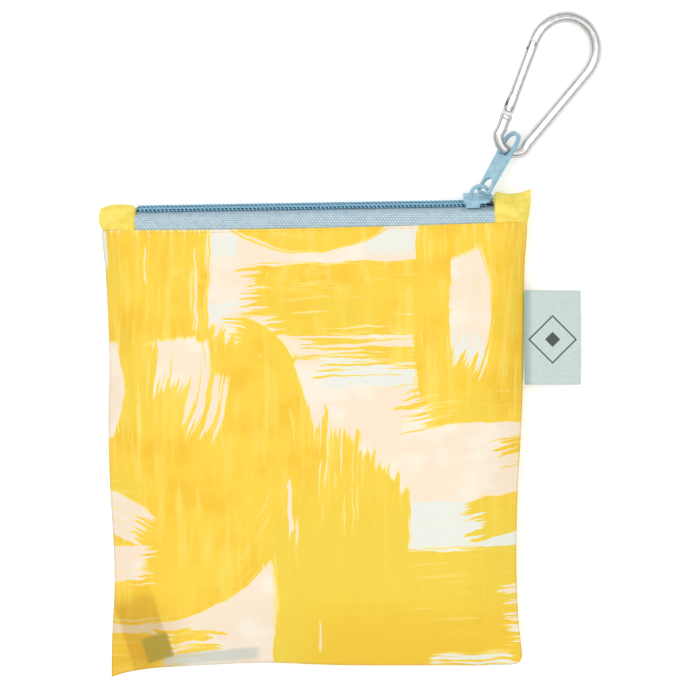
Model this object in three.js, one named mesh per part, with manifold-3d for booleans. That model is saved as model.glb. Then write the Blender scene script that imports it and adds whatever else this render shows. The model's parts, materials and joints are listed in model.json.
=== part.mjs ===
// Foldable tote bag packed away in its own flat zip pouch, with a snap hook on the zip puller.
// Millimetres, +Z up. The pouch lies flat on its back: +X is its right, +Y its zip edge, and the
// origin is the middle of its flat underside, where it rests.
import * as THREE from "three";
import { mergeVertices } from "three/addons/utils/BufferGeometryUtils.js";
import Module from "manifold-3d";

const wasm = await Module();
wasm.setup();

// ---- Driving dimensions -------------------------------------------------------------------
const clearance = 0.3;              // gap kept between neighbouring solids
const degree = Math.PI / 180;

const pouch = {
  bottomLeft: [-63.8, -75.6],
  bottomRight: [64.6, -71.6],
  topLeft: [-66.9, 64.6],
  topRight: [66.0, 66.6],
  leftHollow: 1.3,                  // how far each edge pulls in between its corners
  rightHollow: 1.6,
  bottomHollow: 1.6,
  seamHeight: 5.0,                  // height of the side seams above the table
  crownHeight: 12.9,                // height of the front over the folded bag
  topHeight: 11.4,                  // height of the front beside the zip
  frontRound: 20,                   // width of the slope from a seam up to the crown
  topRound: 8.5,                    // the same beside the zip, where the pouch is boxier
  backRound: 10,                    // width of the slope from a seam down to the table
  thickness: 0.5,
  seamOffset: 0.45,                 // each panel's edge, above or below the seam's height
};

const zip = {
  pitch: 1.25,                      // one coil turn of a size 5 zip
  height: 6.4,                      // chain centre above the table
  middleY: 71.5,                    // chain centre at X = 0
  slope: 0.97 * degree,             // the chain climbs slightly to the right
  lean: 21 * degree,                // the chain's face looks along +Y, leaning up by this much
  left: -55.9,                      // ends of the chain that show between the end tabs
  right: 55.2,
  coilInner: 0.42,                  // half the gap between the two coils' heads
  coilOuter: 3.0,
  coilThickness: 1.8,
  tapeThickness: 0.3,
  tapeBelow: -1.3,                  // tape plane, below the chain's centre plane
  tapeInner: 0.6,                   // the flat part of each tape, from the chain's middle line
  tapeOuter: 4.4,
  frontBend: 4.9,                   // where the front tape turns down over the pouch's edge
  backBend: 1.6,
  hemDepth: 10.5,                   // each tape's sewn edge, below the chain
  frontHem: 10.35,                  // heights of the two sewn edges above the table
  backHem: 0.95,
};

// One turn of a coil, seen from the face: places along the zip, from the turn's start.
const tooth = {
  headStart: 0.22,
  headEnd: 0.63,
  rootEnd: 0.85,
  spineWidth: 1.1,
};

const endTab = {
  thickness: 0.5,
  aboveEdge: 0.9,                   // lower edge, above the pouch's top edge
  frontReach: 5.0,                  // how far the front leaf stands off the tab's middle
  floorGap: 0.9,
  pinch: 0.86,                      // how much flatter it is at the side seam
  left: { inner: -56.3, outer: -67.0, topInner: 72.6, topOuter: 71.0 },
  right: { inner: 55.6, outer: 66.6, topInner: 75.2, topOuter: 76.2 },
};

const slider = {
  x: 50.6,
  length: 9.4,
  halfWidth: 4.3,
  plate: 1.1,
  topPlateBase: 1.2,
  bottomPlateBase: -2.9,
  flange: 1.0,
  flangeLength: 5.6,
  neck: 0.5,
  neckFrom: 1.7,                    // the neck joins the plates between these places
  neckTo: 3.9,
  corner: 0.6,                      // cut corners at the chain's end
  shoulder: 2.6,                    // round shoulders at the mouth
  shoulderPlace: 1.3,
  mouthDepth: 0.85,
  mouthHalf: 1.2,
  flangeStart: 0.4,
  flangeFoot: -0.8,
  sunk: 0.4,                        // how far flanges and neck reach into the plates
};

const crown = {
  x: 0.7,                           // arch centre, along the slider
  centre: 2.9,                      // arch centre above the chain's centre plane
  radius: 2.9,
  bar: 1.0,
  width: 1.3,
};

const tab = {
  angle: 61 * degree,               // direction of the puller in the table's plane
  twist: 52 * degree,               // its face is turned this far about its own length
  offset: 0.7,                      // sideways slack of its ring on the crown
  start: 0.5,                       // ends of the puller, from the crown's centre
  end: 22.8,
  lowerHalfWidth: 2.9,
  upperHalfWidth: 3.5,
  thickness: 1.2,
  lowerHole: { centre: 3.75, length: 4.7, width: 4.2, footRadius: 0.6 },
  upperHole: { centre: 18.3, length: 6.6, width: 4.8, footRadius: 2.4 },
  footRadius: 1.4,                  // outer corners of the ring that the crown holds
};

const hook = {
  angle: 59.8 * degree,             // direction of the snap hook's length
  tilt: 25 * degree,                // its back lies on the table and its gate side is raised
  rod: 1.7,                         // radius of its rod
  smallRadius: 5.3,                 // centre-line radii of the two round ends
  bigRadius: 10.8,
  centres: 29.8,                    // distance between the centres of the two ends
  rodPlace: 16.9,                   // where it passes through the puller, along the puller
  height: 6.35,                     // small end's centre above the table
  pivotAbove: 6.8,                  // gate pivot, along the gate line from its lower tangent point
  tongue: 1.1,                      // thickness of the rod where the gate's cheeks pass it
  slot: 1.7,                        // gap between the gate's cheeks
  hingeStub: 2.6,                   // straight rod on each side of the gate's ends
  hingeTop: -0.3,
  shoulder: -2.1,                   // where the rod thins to its tongue, along the gate
  tongueTop: 2.5,
  noseOver: 0.4,
  noseTongue: 4,
  noseSlotFrom: 2.0,
  noseSlotSide: -0.85,
};

// Inside the gate, measured along it from its pivot.
const gate = {
  discRadius: 1.35,                 // round end of the hook's tongue, about the pivot
  hookPinHole: 0.85,
  pivotPin: 0.58,
  latchPin: 0.5,
  latchBack: 1.15,                  // latch pin, back from the gate's end
  latchReach: 1.6,
  hingeSlotEnd: 3.0,
  noseSlotDepth: 3.5,
  boreLow: 2.6,
  boreHigh: 12.4,
  boreRadius: 1.0,
  plungerLow: 1.5,
  plungerHigh: 4.2,
  plungerRadius: 0.75,
  springLow: 4.5,
  springHigh: 12.1,
  springRadius: 0.66,
  springWire: 0.16,
  springTurns: 7,
};

const label = {
  left: 65.2,
  right: 82.4,
  bottom: 15.8,
  top: 45.2,
  layer: 0.3,
  gap: 0.45,
  height: 5.0,
};

const tote = {
  halfWidth: 51,
  bottom: -57,
  top: 50,
  base: 0.95,                       // underside of the folded stack
  runs: 4,
  pitch: 2.1,
  cloth: 0.7,
  handleWidth: 26,
  handleCloth: 0.35,
  handleCentre: 22,
  handleLow: -40,
  handleHigh: 44,
  handlePitch: 0.8,
};

const careLabel = {
  size: [8, 7.6, 0.3],
  turns: [22 * degree, -14 * degree, 17 * degree],
  place: [-49.4, -66.2, 7.1],
};

// ---- Materials ----------------------------------------------------------------------------
function material(color, roughness, metalness) {
  return new THREE.MeshStandardMaterial({ color, roughness, metalness });
}
const yellowCloth = () => material(0xfad551, 0.8, 0);
const creamCloth = () => material(0xf4e2c9, 0.8, 0);
const paleYellowCloth = () => material(0xead456, 0.8, 0);
const zipTape = () => material(0xaec4ce, 0.85, 0);
const zipNylon = () => material(0x9cc6da, 0.5, 0);
const bluePaint = () => material(0x8ab4c6, 0.4, 0.3);
const aluminium = () => material(0xe6e7e6, 0.3, 1);
const steel = () => material(0xb9bcbe, 0.3, 1);
const mintRibbon = () => material(0xbccac7, 0.75, 0);
const greyRibbon = () => material(0x8c8f86, 0.8, 0);

// ---- Tools --------------------------------------------------------------------------------
const part = new THREE.Group();

function addMesh(parent, name, geometry, meshMaterial) {
  const mesh = new THREE.Mesh(geometry, meshMaterial);
  mesh.name = name;
  parent.add(mesh);
  return mesh;
}

function toSolid(geometry) {
  const bare = geometry.clone();
  bare.deleteAttribute("normal");
  bare.deleteAttribute("uv");
  const merged = mergeVertices(bare, 1e-4);
  return new wasm.Manifold(new wasm.Mesh({
    numProp: 3,
    vertProperties: new Float32Array(merged.attributes.position.array),
    triVerts: new Uint32Array(merged.index.array),
  }));
}

function fromSolid(solid) {
  const mesh = solid.getMesh();
  const geometry = new THREE.BufferGeometry();
  geometry.setAttribute("position", new THREE.BufferAttribute(new Float32Array(mesh.vertProperties), 3));
  geometry.setIndex(Array.from(mesh.triVerts));
  return geometry;
}

function cut(geometry, ...tools) {
  return fromSolid(tools.reduce((solid, tool) => solid.subtract(toSolid(tool)), toSolid(geometry)));
}

function join(...geometries) {
  return fromSolid(geometries.map(toSolid).reduce((solid, other) => solid.add(other)));
}

// A box given by its low and high corners.
function block(low, high) {
  const size = high.map((value, axis) => value - low[axis]);
  const geometry = new THREE.BoxGeometry(...size);
  return geometry.translate(...low.map((value, axis) => value + size[axis] / 2));
}

// A cylinder between two points.
function rod(from, to, radius, sides = 12) {
  const start = new THREE.Vector3(...from);
  const along = new THREE.Vector3(...to).sub(start);
  const geometry = new THREE.CylinderGeometry(radius, radius, along.length(), sides);
  const up = new THREE.Vector3(0, 1, 0);
  const turn = new THREE.Quaternion().setFromUnitVectors(up, along.clone().normalize());
  const middle = start.clone().addScaledVector(along, 0.5);
  return geometry.applyQuaternion(turn).translate(middle.x, middle.y, middle.z);
}

// A round bar along a list of points.
function bentBar(points, radius, sides, steps) {
  const section = new THREE.Shape();
  section.absarc(0, 0, radius, 0, 2 * Math.PI, false);
  const places = points.map((point) => new THREE.Vector3(...point));
  const path = new THREE.CatmullRomCurve3(places, false, "centripetal");
  return new THREE.ExtrudeGeometry(section, { steps, curveSegments: sides, extrudePath: path });
}

// A closed sheet of cloth: point(u, v) is its middle surface and thickness is split to both faces.
function sheet(point, columns, rows, thickness) {
  const step = 1e-4;
  const faces = [[], []];
  for (let row = 0; row <= rows; row += 1) {
    for (let column = 0; column <= columns; column += 1) {
      const u = column / columns;
      const v = row / rows;
      const here = new THREE.Vector3(...point(u, v));
      const alongU = new THREE.Vector3(...point(u + step, v)).sub(new THREE.Vector3(...point(u - step, v)));
      const alongV = new THREE.Vector3(...point(u, v + step)).sub(new THREE.Vector3(...point(u, v - step)));
      const normal = alongU.cross(alongV).normalize().multiplyScalar(thickness / 2);
      faces[0].push(here.clone().add(normal));
      faces[1].push(here.clone().sub(normal));
    }
  }
  const count = faces[0].length;
  const stride = columns + 1;
  const triangles = [];
  const quad = (a, b, c, d) => triangles.push(a, b, c, a, c, d);
  for (let row = 0; row < rows; row += 1) {
    for (let column = 0; column < columns; column += 1) {
      const a = row * stride + column;
      quad(a, a + 1, a + 1 + stride, a + stride);
      quad(a + count, a + stride + count, a + 1 + stride + count, a + 1 + count);
    }
  }
  for (let column = 0; column < columns; column += 1) {
    const top = rows * stride + column;
    quad(column + count, column + 1 + count, column + 1, column);
    quad(top, top + 1, top + 1 + count, top + count);
  }
  for (let row = 0; row < rows; row += 1) {
    const left = row * stride;
    const right = left + columns;
    quad(left, left + stride, left + stride + count, left + count);
    quad(right + count, right + stride + count, right + stride, right);
  }
  const geometry = new THREE.BufferGeometry();
  const positions = faces.flat().flatMap((vertex) => vertex.toArray());
  geometry.setAttribute("position", new THREE.Float32BufferAttribute(positions, 3));
  geometry.setIndex(triangles);
  return geometry;
}

// ---- Pouch --------------------------------------------------------------------------------
const mix = (a, b, t) => a + (b - a) * t;
const rise = (distance, width) => 1 - (1 - THREE.MathUtils.clamp(distance / width, 0, 1)) ** 2;
const hollowAt = (t) => 1 - Math.abs(2 * t - 1) ** 4;

function pouchEdges(v) {
  const left = mix(pouch.bottomLeft[0], pouch.topLeft[0], v) + pouch.leftHollow * hollowAt(v);
  const right = mix(pouch.bottomRight[0], pouch.topRight[0], v) - pouch.rightHollow * hollowAt(v);
  return { left, right };
}

function pouchPlan(u, v) {
  const { left, right } = pouchEdges(v);
  const bottom = mix(pouch.bottomLeft[1], pouch.bottomRight[1], u) + pouch.bottomHollow * hollowAt(u);
  const top = mix(pouch.topLeft[1], pouch.topRight[1], u);
  return {
    x: mix(left, right, u),
    y: mix(bottom, top, v),
    side: Math.min(mix(left, right, u) - left, right - mix(left, right, u)),
    floor: mix(bottom, top, v) - bottom,
  };
}

function frontPanel(u, v) {
  const plan = pouchPlan(u, v);
  const round = mix(pouch.frontRound, pouch.topRound, Math.max(0, v) ** 2);
  const lift = rise(plan.side, round) * rise(plan.floor, pouch.frontRound);
  const crownHere = mix(pouch.crownHeight, pouch.topHeight, Math.max(0, v) ** 3);
  const seam = pouch.seamHeight + pouch.seamOffset;
  return [plan.x, plan.y, seam + (crownHere - pouch.thickness / 2 - seam) * lift];
}

function backPanel(u, v) {
  const plan = pouchPlan(u, v);
  const lift = rise(plan.side, pouch.backRound) * rise(plan.floor, pouch.backRound);
  const seam = pouch.seamHeight - pouch.seamOffset;
  return [plan.x, plan.y, mix(seam, pouch.thickness / 2, lift)];
}

// Column and row places are closer together near the seams, where the cloth curves.
const nearSeams = (t) => t - 0.09 * Math.sin(2 * Math.PI * t);

function addPouch() {
  const columns = 14;
  const rows = 12;
  const spread = (surface) => (u, v) => surface(nearSeams(u), nearSeams(v));
  const panel = (surface) => sheet(spread(surface), columns, rows, pouch.thickness);
  addMesh(part, "pouch_front_panel", panel(frontPanel), yellowCloth());
  addMesh(part, "pouch_back_panel", panel(backPanel), creamCloth());
}

// ---- Zip ----------------------------------------------------------------------------------
// In the chain's frame x runs along the zip, y out of its face and z from the back to the front.
const chain = new THREE.Group();
chain.position.set(0, zip.middleY, zip.height);
chain.rotation.set(zip.lean, 0, zip.slope, "ZYX");
part.add(chain);

const chainY = (x) => zip.middleY + x * Math.tan(zip.slope);

// A point of the chain's frame, as a place across the zip at a given X of the part.
function acrossZip(x, out, side) {
  const y = chainY(x) + out * Math.cos(zip.lean) - side * Math.sin(zip.lean);
  const z = zip.height + out * Math.sin(zip.lean) + side * Math.cos(zip.lean);
  return [x, y, z];
}

function alongPoints(points, t) {
  const place = THREE.MathUtils.clamp(t, 0, 1) * (points.length - 1);
  const index = Math.min(Math.floor(place), points.length - 2);
  const rest = t < 0 || t > 1 ? place - index + (t < 0 ? t : t - 1) : place - index;
  return points[index].map((value, axis) => mix(value, points[index + 1][axis], rest));
}

// side is 1 for the front tape and -1 for the back one.
function tapeLine(x, side) {
  const hem = [x, chainY(x) - zip.hemDepth, side > 0 ? zip.frontHem : zip.backHem];
  const bend = side > 0
    ? acrossZip(x, zip.tapeBelow - 0.2, zip.frontBend)
    : [x, chainY(x) - zip.backBend, zip.backHem];
  return [
    acrossZip(x, zip.tapeBelow, side * zip.tapeInner),
    acrossZip(x, zip.tapeBelow, side * zip.tapeOuter),
    bend,
    hem,
  ];
}

function addTape(name, side) {
  const left = zip.left - 0.2;
  const right = zip.right + 0.2;
  const point = (u, v) => alongPoints(tapeLine(mix(left, right, u), side), side > 0 ? 1 - v : v);
  addMesh(part, name, sheet(point, 2, 3, zip.tapeThickness), zipTape());
}

// One row of coil turns, seen from the face: a spine with a rounded head for each turn.
function addCoil(name, side) {
  const outline = new THREE.Shape();
  const spine = zip.coilOuter - tooth.spineWidth;
  const turns = Math.floor((zip.right - zip.left) / zip.pitch) - 1;
  const start = zip.left + 0.35 + (side > 0 ? 0 : zip.pitch / 2);
  outline.moveTo(start, side * zip.coilOuter);
  for (let turn = 0; turn < turns; turn += 1) {
    const x = start + turn * zip.pitch;
    outline.lineTo(x, side * spine);
    outline.lineTo(x + tooth.headStart, side * zip.coilInner);
    outline.lineTo(x + tooth.headEnd, side * zip.coilInner);
    outline.lineTo(x + tooth.rootEnd, side * spine);
  }
  outline.lineTo(start + (turns - 1) * zip.pitch + tooth.rootEnd, side * zip.coilOuter);
  const geometry = new THREE.ExtrudeGeometry(outline, { depth: zip.coilThickness, bevelEnabled: false });
  geometry.translate(0, 0, -zip.coilThickness / 2);
  geometry.rotateX(Math.PI / 2);
  addMesh(chain, name, geometry, zipNylon());
}

// An end tab is a strip of cloth folded over the end of the zip: front leaf, top fold, back leaf.
function addEndTab(name, { inner, outer, topInner, topOuter }) {
  const squeeze = (u) => 1 - endTab.pinch * u ** 2;
  const pouchWidth = pouch.topRight[0] - pouch.topLeft[0];
  const leafTop = (u) => mix(topInner, topOuter, u);
  const line = (u) => {
    const x = mix(inner, outer, u);
    const across = (x - pouch.topLeft[0]) / pouchWidth;
    const base = mix(pouch.topLeft[1], pouch.topRight[1], across) + endTab.aboveEdge;
    const middle = mix(zip.height, pouch.seamHeight, u);
    const up = endTab.frontReach * squeeze(u);
    const down = (zip.height - endTab.floorGap) * squeeze(u);
    const top = leafTop(u);
    return [
      [x, base, middle + up],
      [x, mix(base, top, 0.55), middle + up * 0.86],
      [x, mix(base, top, 0.9), middle + up * 0.5],
      [x, top, middle],
      [x, mix(base, top, 0.9), middle - down * 0.55],
      [x, mix(base, top, 0.55), middle - down * 0.9],
      [x, base, middle - down],
    ];
  };
  const point = (u, v) => alongPoints(line(THREE.MathUtils.clamp(u, -0.01, 1.01)), v);
  const mirrored = outer < inner;
  const ordered = (u, v) => point(u, mirrored ? v : 1 - v);
  addMesh(part, name, sheet(ordered, 5, 6, endTab.thickness), paleYellowCloth());
}

function addZip() {
  addTape("zip_tape_front", 1);
  addTape("zip_tape_back", -1);
  addCoil("zip_coil_front", 1);
  addCoil("zip_coil_back", -1);
  addEndTab("zip_end_tab_left", endTab.left);
  addEndTab("zip_end_tab_right", endTab.right);
}

// ---- Slider -------------------------------------------------------------------------------
const sliderFrame = new THREE.Group();
sliderFrame.position.set(slider.x, 0, 0);
chain.add(sliderFrame);

// A slider plate seen from its face: square at the chain's end, round-shouldered at the mouth.
function sliderPlate(base) {
  const half = slider.length / 2;
  const outline = new THREE.Shape();
  const { corner, halfWidth, shoulder, shoulderPlace } = slider;
  outline.moveTo(-half + corner, -halfWidth);
  outline.lineTo(shoulderPlace, -halfWidth);
  outline.absarc(shoulderPlace, -halfWidth + shoulder, shoulder, -Math.PI / 2, -0.25, false);
  outline.lineTo(half, 0);
  outline.lineTo(half - slider.mouthDepth, slider.mouthHalf);
  outline.absarc(shoulderPlace, halfWidth - shoulder, shoulder, 0.25, Math.PI / 2, false);
  outline.lineTo(-half + corner, halfWidth);
  outline.lineTo(-half, halfWidth - corner);
  outline.lineTo(-half, -halfWidth + corner);
  const geometry = new THREE.ExtrudeGeometry(outline, {
    depth: slider.plate,
    bevelEnabled: false,
    curveSegments: 5,
  });
  return geometry.rotateX(-Math.PI / 2).translate(0, base, 0);
}

function addSlider() {
  const half = slider.length / 2;
  const flangeEnd = -half + slider.flangeLength;
  const flangeIn = slider.halfWidth - slider.flange;
  const flanges = [1, -1].map((side) => block(
    [-half + slider.flangeStart, slider.flangeFoot, Math.min(side * flangeIn, side * slider.halfWidth)],
    [flangeEnd, slider.topPlateBase + slider.sunk, Math.max(side * flangeIn, side * slider.halfWidth)],
  ));
  const neck = block(
    [slider.neckFrom, slider.bottomPlateBase + slider.sunk, -slider.neck / 2],
    [slider.neckTo, slider.topPlateBase + slider.sunk, slider.neck / 2],
  );
  const body = join(sliderPlate(slider.topPlateBase), sliderPlate(slider.bottomPlateBase), ...flanges, neck);
  addMesh(sliderFrame, "slider_body", body, bluePaint());
}

// The crown is a round arch over the slider; the puller's ring swings along it.
function addCrown() {
  const outline = new THREE.Shape();
  const outer = crown.radius + crown.bar / 2;
  const inner = crown.radius - crown.bar / 2;
  const foot = slider.topPlateBase + slider.plate + 0.1 - crown.centre;
  outline.moveTo(outer, foot);
  outline.absarc(0, 0, outer, 0, Math.PI, false);
  outline.lineTo(-outer, foot);
  outline.lineTo(-inner, foot);
  outline.absarc(0, 0, inner, Math.PI, 0, true);
  outline.lineTo(inner, foot);
  const geometry = new THREE.ExtrudeGeometry(outline, {
    depth: crown.width,
    bevelEnabled: false,
    curveSegments: 14,
  });
  geometry.translate(crown.x, crown.centre, -crown.width / 2);
  addMesh(sliderFrame, "slider_crown", geometry, bluePaint());
}

// ---- Puller -------------------------------------------------------------------------------
part.updateMatrixWorld(true);
const crownCentre = new THREE.Vector3(crown.x, crown.centre, 0).applyMatrix4(sliderFrame.matrixWorld);

// A frame from its first and second axes; the third follows by the right-hand rule.
function frameFrom(origin, first, second) {
  const third = first.clone().cross(second);
  return new THREE.Matrix4().makeBasis(first, second, third).setPosition(origin);
}

function pullTabFrame() {
  const right = new THREE.Vector3(Math.sin(tab.angle), -Math.cos(tab.angle), 0);
  const across = right.clone().multiplyScalar(Math.cos(tab.twist));
  across.z = Math.sin(tab.twist);
  const origin = crownCentre.clone().addScaledVector(across, tab.offset);
  const dip = Math.asin((origin.z - hook.height) / hook.rodPlace);
  const along = new THREE.Vector3(
    Math.cos(tab.angle) * Math.cos(dip),
    Math.sin(tab.angle) * Math.cos(dip),
    -Math.sin(dip),
  );
  const width = across.clone().addScaledVector(along, -across.dot(along)).normalize();
  return frameFrom(origin, width, along);
}

// A slot with a round top end and rounded corners at its foot, added to a shape or a path.
function roundedSlot(path, top, foot, topHalf, footHalf, footRadius) {
  path.absarc(0, top - topHalf, topHalf, 0, Math.PI, false);
  path.absarc(-footHalf + footRadius, foot + footRadius, footRadius, Math.PI, 1.5 * Math.PI, false);
  path.absarc(footHalf - footRadius, foot + footRadius, footRadius, 1.5 * Math.PI, 2 * Math.PI, false);
  return path;
}

function slotHole({ centre, length, width, footRadius }) {
  const half = width / 2;
  return roundedSlot(new THREE.Path(), centre + length / 2, centre - length / 2, half, half, footRadius);
}

function addPullTab(frame) {
  const outline = roundedSlot(
    new THREE.Shape(),
    tab.end,
    tab.start,
    tab.upperHalfWidth,
    tab.lowerHalfWidth,
    tab.footRadius,
  );
  outline.holes.push(slotHole(tab.lowerHole), slotHole(tab.upperHole));
  const geometry = new THREE.ExtrudeGeometry(outline, {
    depth: tab.thickness,
    bevelEnabled: false,
    curveSegments: 9,
  });
  geometry.translate(0, 0, -tab.thickness / 2).applyMatrix4(frame);
  addMesh(part, "pull_tab", geometry, bluePaint());
}

// ---- Snap hook ----------------------------------------------------------------------------
// In the hook's frame x points to its back, y from the small end to the big end, z out of its plane.
function hookFrame(tabMatrix) {
  const along = new THREE.Vector3(Math.cos(hook.angle), Math.sin(hook.angle), 0);
  const right = new THREE.Vector3(Math.sin(hook.angle), -Math.cos(hook.angle), 0);
  const back = right.multiplyScalar(Math.cos(hook.tilt));
  back.z = -Math.sin(hook.tilt);
  const origin = new THREE.Vector3(0, hook.rodPlace, 0).applyMatrix4(tabMatrix);
  origin.addScaledVector(along, hook.smallRadius);
  return frameFrom(origin, back, along);
}

const hookSlant = Math.asin((hook.bigRadius - hook.smallRadius) / hook.centres);
const gateFoot = [-hook.smallRadius * Math.cos(hookSlant), -hook.smallRadius * Math.sin(hookSlant), 0];
const gateTop = [
  -hook.bigRadius * Math.cos(hookSlant),
  hook.centres - hook.bigRadius * Math.sin(hookSlant),
  0,
];
const gateLineLength = Math.hypot(gateTop[0] - gateFoot[0], gateTop[1] - gateFoot[1]);
const gateLength = gateLineLength - hook.pivotAbove;

// The gate's frame: origin at its pivot, y along the gate to the nose, x to the inside of the hook.
const gateFrame = new THREE.Matrix4().makeRotationZ(hookSlant);
gateFrame.setPosition(
  gateFoot[0] - Math.sin(hookSlant) * hook.pivotAbove,
  gateFoot[1] + Math.cos(hookSlant) * hook.pivotAbove,
  0,
);

const inGate = (geometry) => geometry.applyMatrix4(gateFrame);

function hookCentreLine() {
  const points = [];
  const shoulder = new THREE.Vector3(0, -2.3, 0).applyMatrix4(gateFrame);
  points.push(shoulder.toArray());
  const arc = (cx, cy, radius, from, to, count) => {
    for (let index = 0; index <= count; index += 1) {
      const angle = mix(from, to, index / count);
      points.push([cx + radius * Math.cos(angle), cy + radius * Math.sin(angle), 0]);
    }
  };
  arc(0, 0, hook.smallRadius, Math.PI + hookSlant, 2 * Math.PI - hookSlant, 10);
  points.push([
    mix(hook.smallRadius, hook.bigRadius, 0.5) * Math.cos(hookSlant),
    hook.centres / 2 - mix(hook.smallRadius, hook.bigRadius, 0.5) * Math.sin(hookSlant),
    0,
  ]);
  arc(0, hook.centres, hook.bigRadius, -hookSlant, Math.PI + hookSlant, 14);
  return points;
}

// The two blocks that thin the rod to its tongue between two places along the gate.
function tongueCuts(from, to) {
  const wide = 4;
  return [1, -1].map((side) => inGate(block(
    [-wide, from, Math.min(side * hook.tongue / 2, side * wide)],
    [wide, to, Math.max(side * hook.tongue / 2, side * wide)],
  )));
}

function addHookBody(frame) {
  const wide = 4;
  const bar = bentBar(hookCentreLine(), hook.rod, 10, 44);
  const hinge = inGate(rod([0, -hook.hingeStub, 0], [0, hook.hingeTop, 0], hook.rod, 10));
  const discHalf = hook.tongue / 2;
  const hingeDisc = inGate(rod([0, 0, -discHalf], [0, 0, discHalf], gate.discRadius, 16));
  const noseEnd = [0, gateLength + hook.noseOver, 0];
  const nose = inGate(rod([0, gateLength - hook.hingeStub, 0], noseEnd, hook.rod, 10));
  const sideCuts = [
    ...tongueCuts(hook.shoulder, hook.tongueTop),
    ...tongueCuts(gateLength - hook.noseTongue, gateLength),
  ];
  const pinHole = inGate(rod([0, 0, -wide], [0, 0, wide], gate.hookPinHole, 12));
  const noseSlot = inGate(block(
    [hook.noseSlotSide, gateLength - hook.noseSlotFrom, -wide],
    [wide, gateLength - clearance, wide],
  ));
  const body = fromSolid(
    [hinge, hingeDisc, nose].reduce((solid, piece) => solid.add(toSolid(piece)), toSolid(bar)),
  );
  const geometry = cut(body, ...sideCuts, pinHole, noseSlot).applyMatrix4(frame);
  addMesh(part, "carabiner_body", geometry, aluminium());
}

// A pin or hole straight through the gate's thickness, at one place along it.
function crossRod(along, reach, radius) {
  return rod([0, along, -reach], [0, along, reach], radius, 12);
}

function addGateTube(frame) {
  const wide = 4;
  const tube = rod([0, -1.2, 0], [0, gateLength - clearance, 0], hook.rod, 12);
  const hingeSlot = block([-wide, -3, -hook.slot / 2], [wide, gate.hingeSlotEnd, hook.slot / 2]);
  const noseSlot = block(
    [-wide, gateLength - gate.noseSlotDepth, -hook.slot / 2],
    [wide, gateLength + 1, hook.slot / 2],
  );
  const bore = rod([0, gate.boreLow, 0], [0, gate.boreHigh, 0], gate.boreRadius, 12);
  const pivotHole = crossRod(0, wide, gate.pivotPin + 0.1);
  const latchHole = crossRod(gateLength - gate.latchBack, wide, gate.latchPin + 0.1);
  const geometry = cut(tube, hingeSlot, noseSlot, bore, pivotHole, latchHole);
  addMesh(part, "carabiner_gate", inGate(geometry).applyMatrix4(frame), aluminium());
}

function addGatePins(frame) {
  const pivotPin = crossRod(0, hook.rod, gate.pivotPin);
  addMesh(part, "gate_pivot_pin", inGate(pivotPin).applyMatrix4(frame), steel());
  const latchPin = crossRod(gateLength - gate.latchBack, gate.latchReach, gate.latchPin);
  addMesh(part, "gate_latch_pin", inGate(latchPin).applyMatrix4(frame), steel());
}

function addGateSpring(frame) {
  const plunger = rod([0, gate.plungerLow, 0], [0, gate.plungerHigh, 0], gate.plungerRadius, 10);
  addMesh(part, "gate_plunger", inGate(plunger).applyMatrix4(frame), steel());

  const turnSteps = 8;
  const steps = gate.springTurns * turnSteps;
  const coil = [];
  for (let index = 0; index <= steps; index += 1) {
    const angle = (index / turnSteps) * 2 * Math.PI;
    const height = mix(gate.springLow, gate.springHigh, index / steps);
    coil.push([gate.springRadius * Math.cos(angle), height, gate.springRadius * Math.sin(angle)]);
  }
  const spring = bentBar(coil, gate.springWire, 5, steps);
  addMesh(part, "gate_spring", inGate(spring).applyMatrix4(frame), steel());
}

// ---- Label --------------------------------------------------------------------------------
// A ribbon folded in half, its two ends side by side at the seam.
function addLabel() {
  const fold = (label.layer + label.gap) / 2;
  const foldSteps = 6;
  const line = [[label.left, label.height + fold]];
  for (let index = 0; index <= foldSteps; index += 1) {
    const angle = Math.PI / 2 - (index / foldSteps) * Math.PI;
    line.push([label.right - fold + fold * Math.cos(angle), label.height + fold * Math.sin(angle)]);
  }
  line.push([label.left, label.height - fold]);
  const point = (u, v) => {
    const [x, z] = alongPoints(line, u);
    return [x, mix(label.bottom, label.top, v), z];
  };
  addMesh(part, "side_label", sheet(point, line.length - 1, 1, label.layer), mintRibbon());
}

// ---- Folded bag ---------------------------------------------------------------------------
// A cloth folded to and fro in runs; shift moves it off the middle line of the folds.
function foldedLine(low, high, runs, pitch, shift) {
  const points = [];
  const foldSteps = 6;
  const reach = pitch / 2;
  for (let run = 0; run < runs; run += 1) {
    const forward = run % 2 === 0;
    const height = run * pitch;
    const side = forward ? 1 : -1;
    points.push([forward ? low + reach : high - reach, height + side * shift]);
    if (run === runs - 1) {
      points.push([forward ? high - reach : low + reach, height + side * shift]);
      break;
    }
    const centre = forward ? high - reach : low + reach;
    const radius = reach - shift * side;
    for (let index = 0; index <= foldSteps; index += 1) {
      const angle = -Math.PI / 2 + (index / foldSteps) * Math.PI;
      points.push([
        centre + side * radius * Math.cos(angle),
        height + reach + radius * Math.sin(angle),
      ]);
    }
  }
  return points;
}

function addFolded(name, line, from, to, thickness, base, meshMaterial) {
  const point = (u, v) => {
    const [across, height] = alongPoints(line, u);
    return [mix(to, from, v), across, base + height];
  };
  addMesh(part, name, sheet(point, line.length - 1, 1, thickness), meshMaterial);
}

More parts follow.
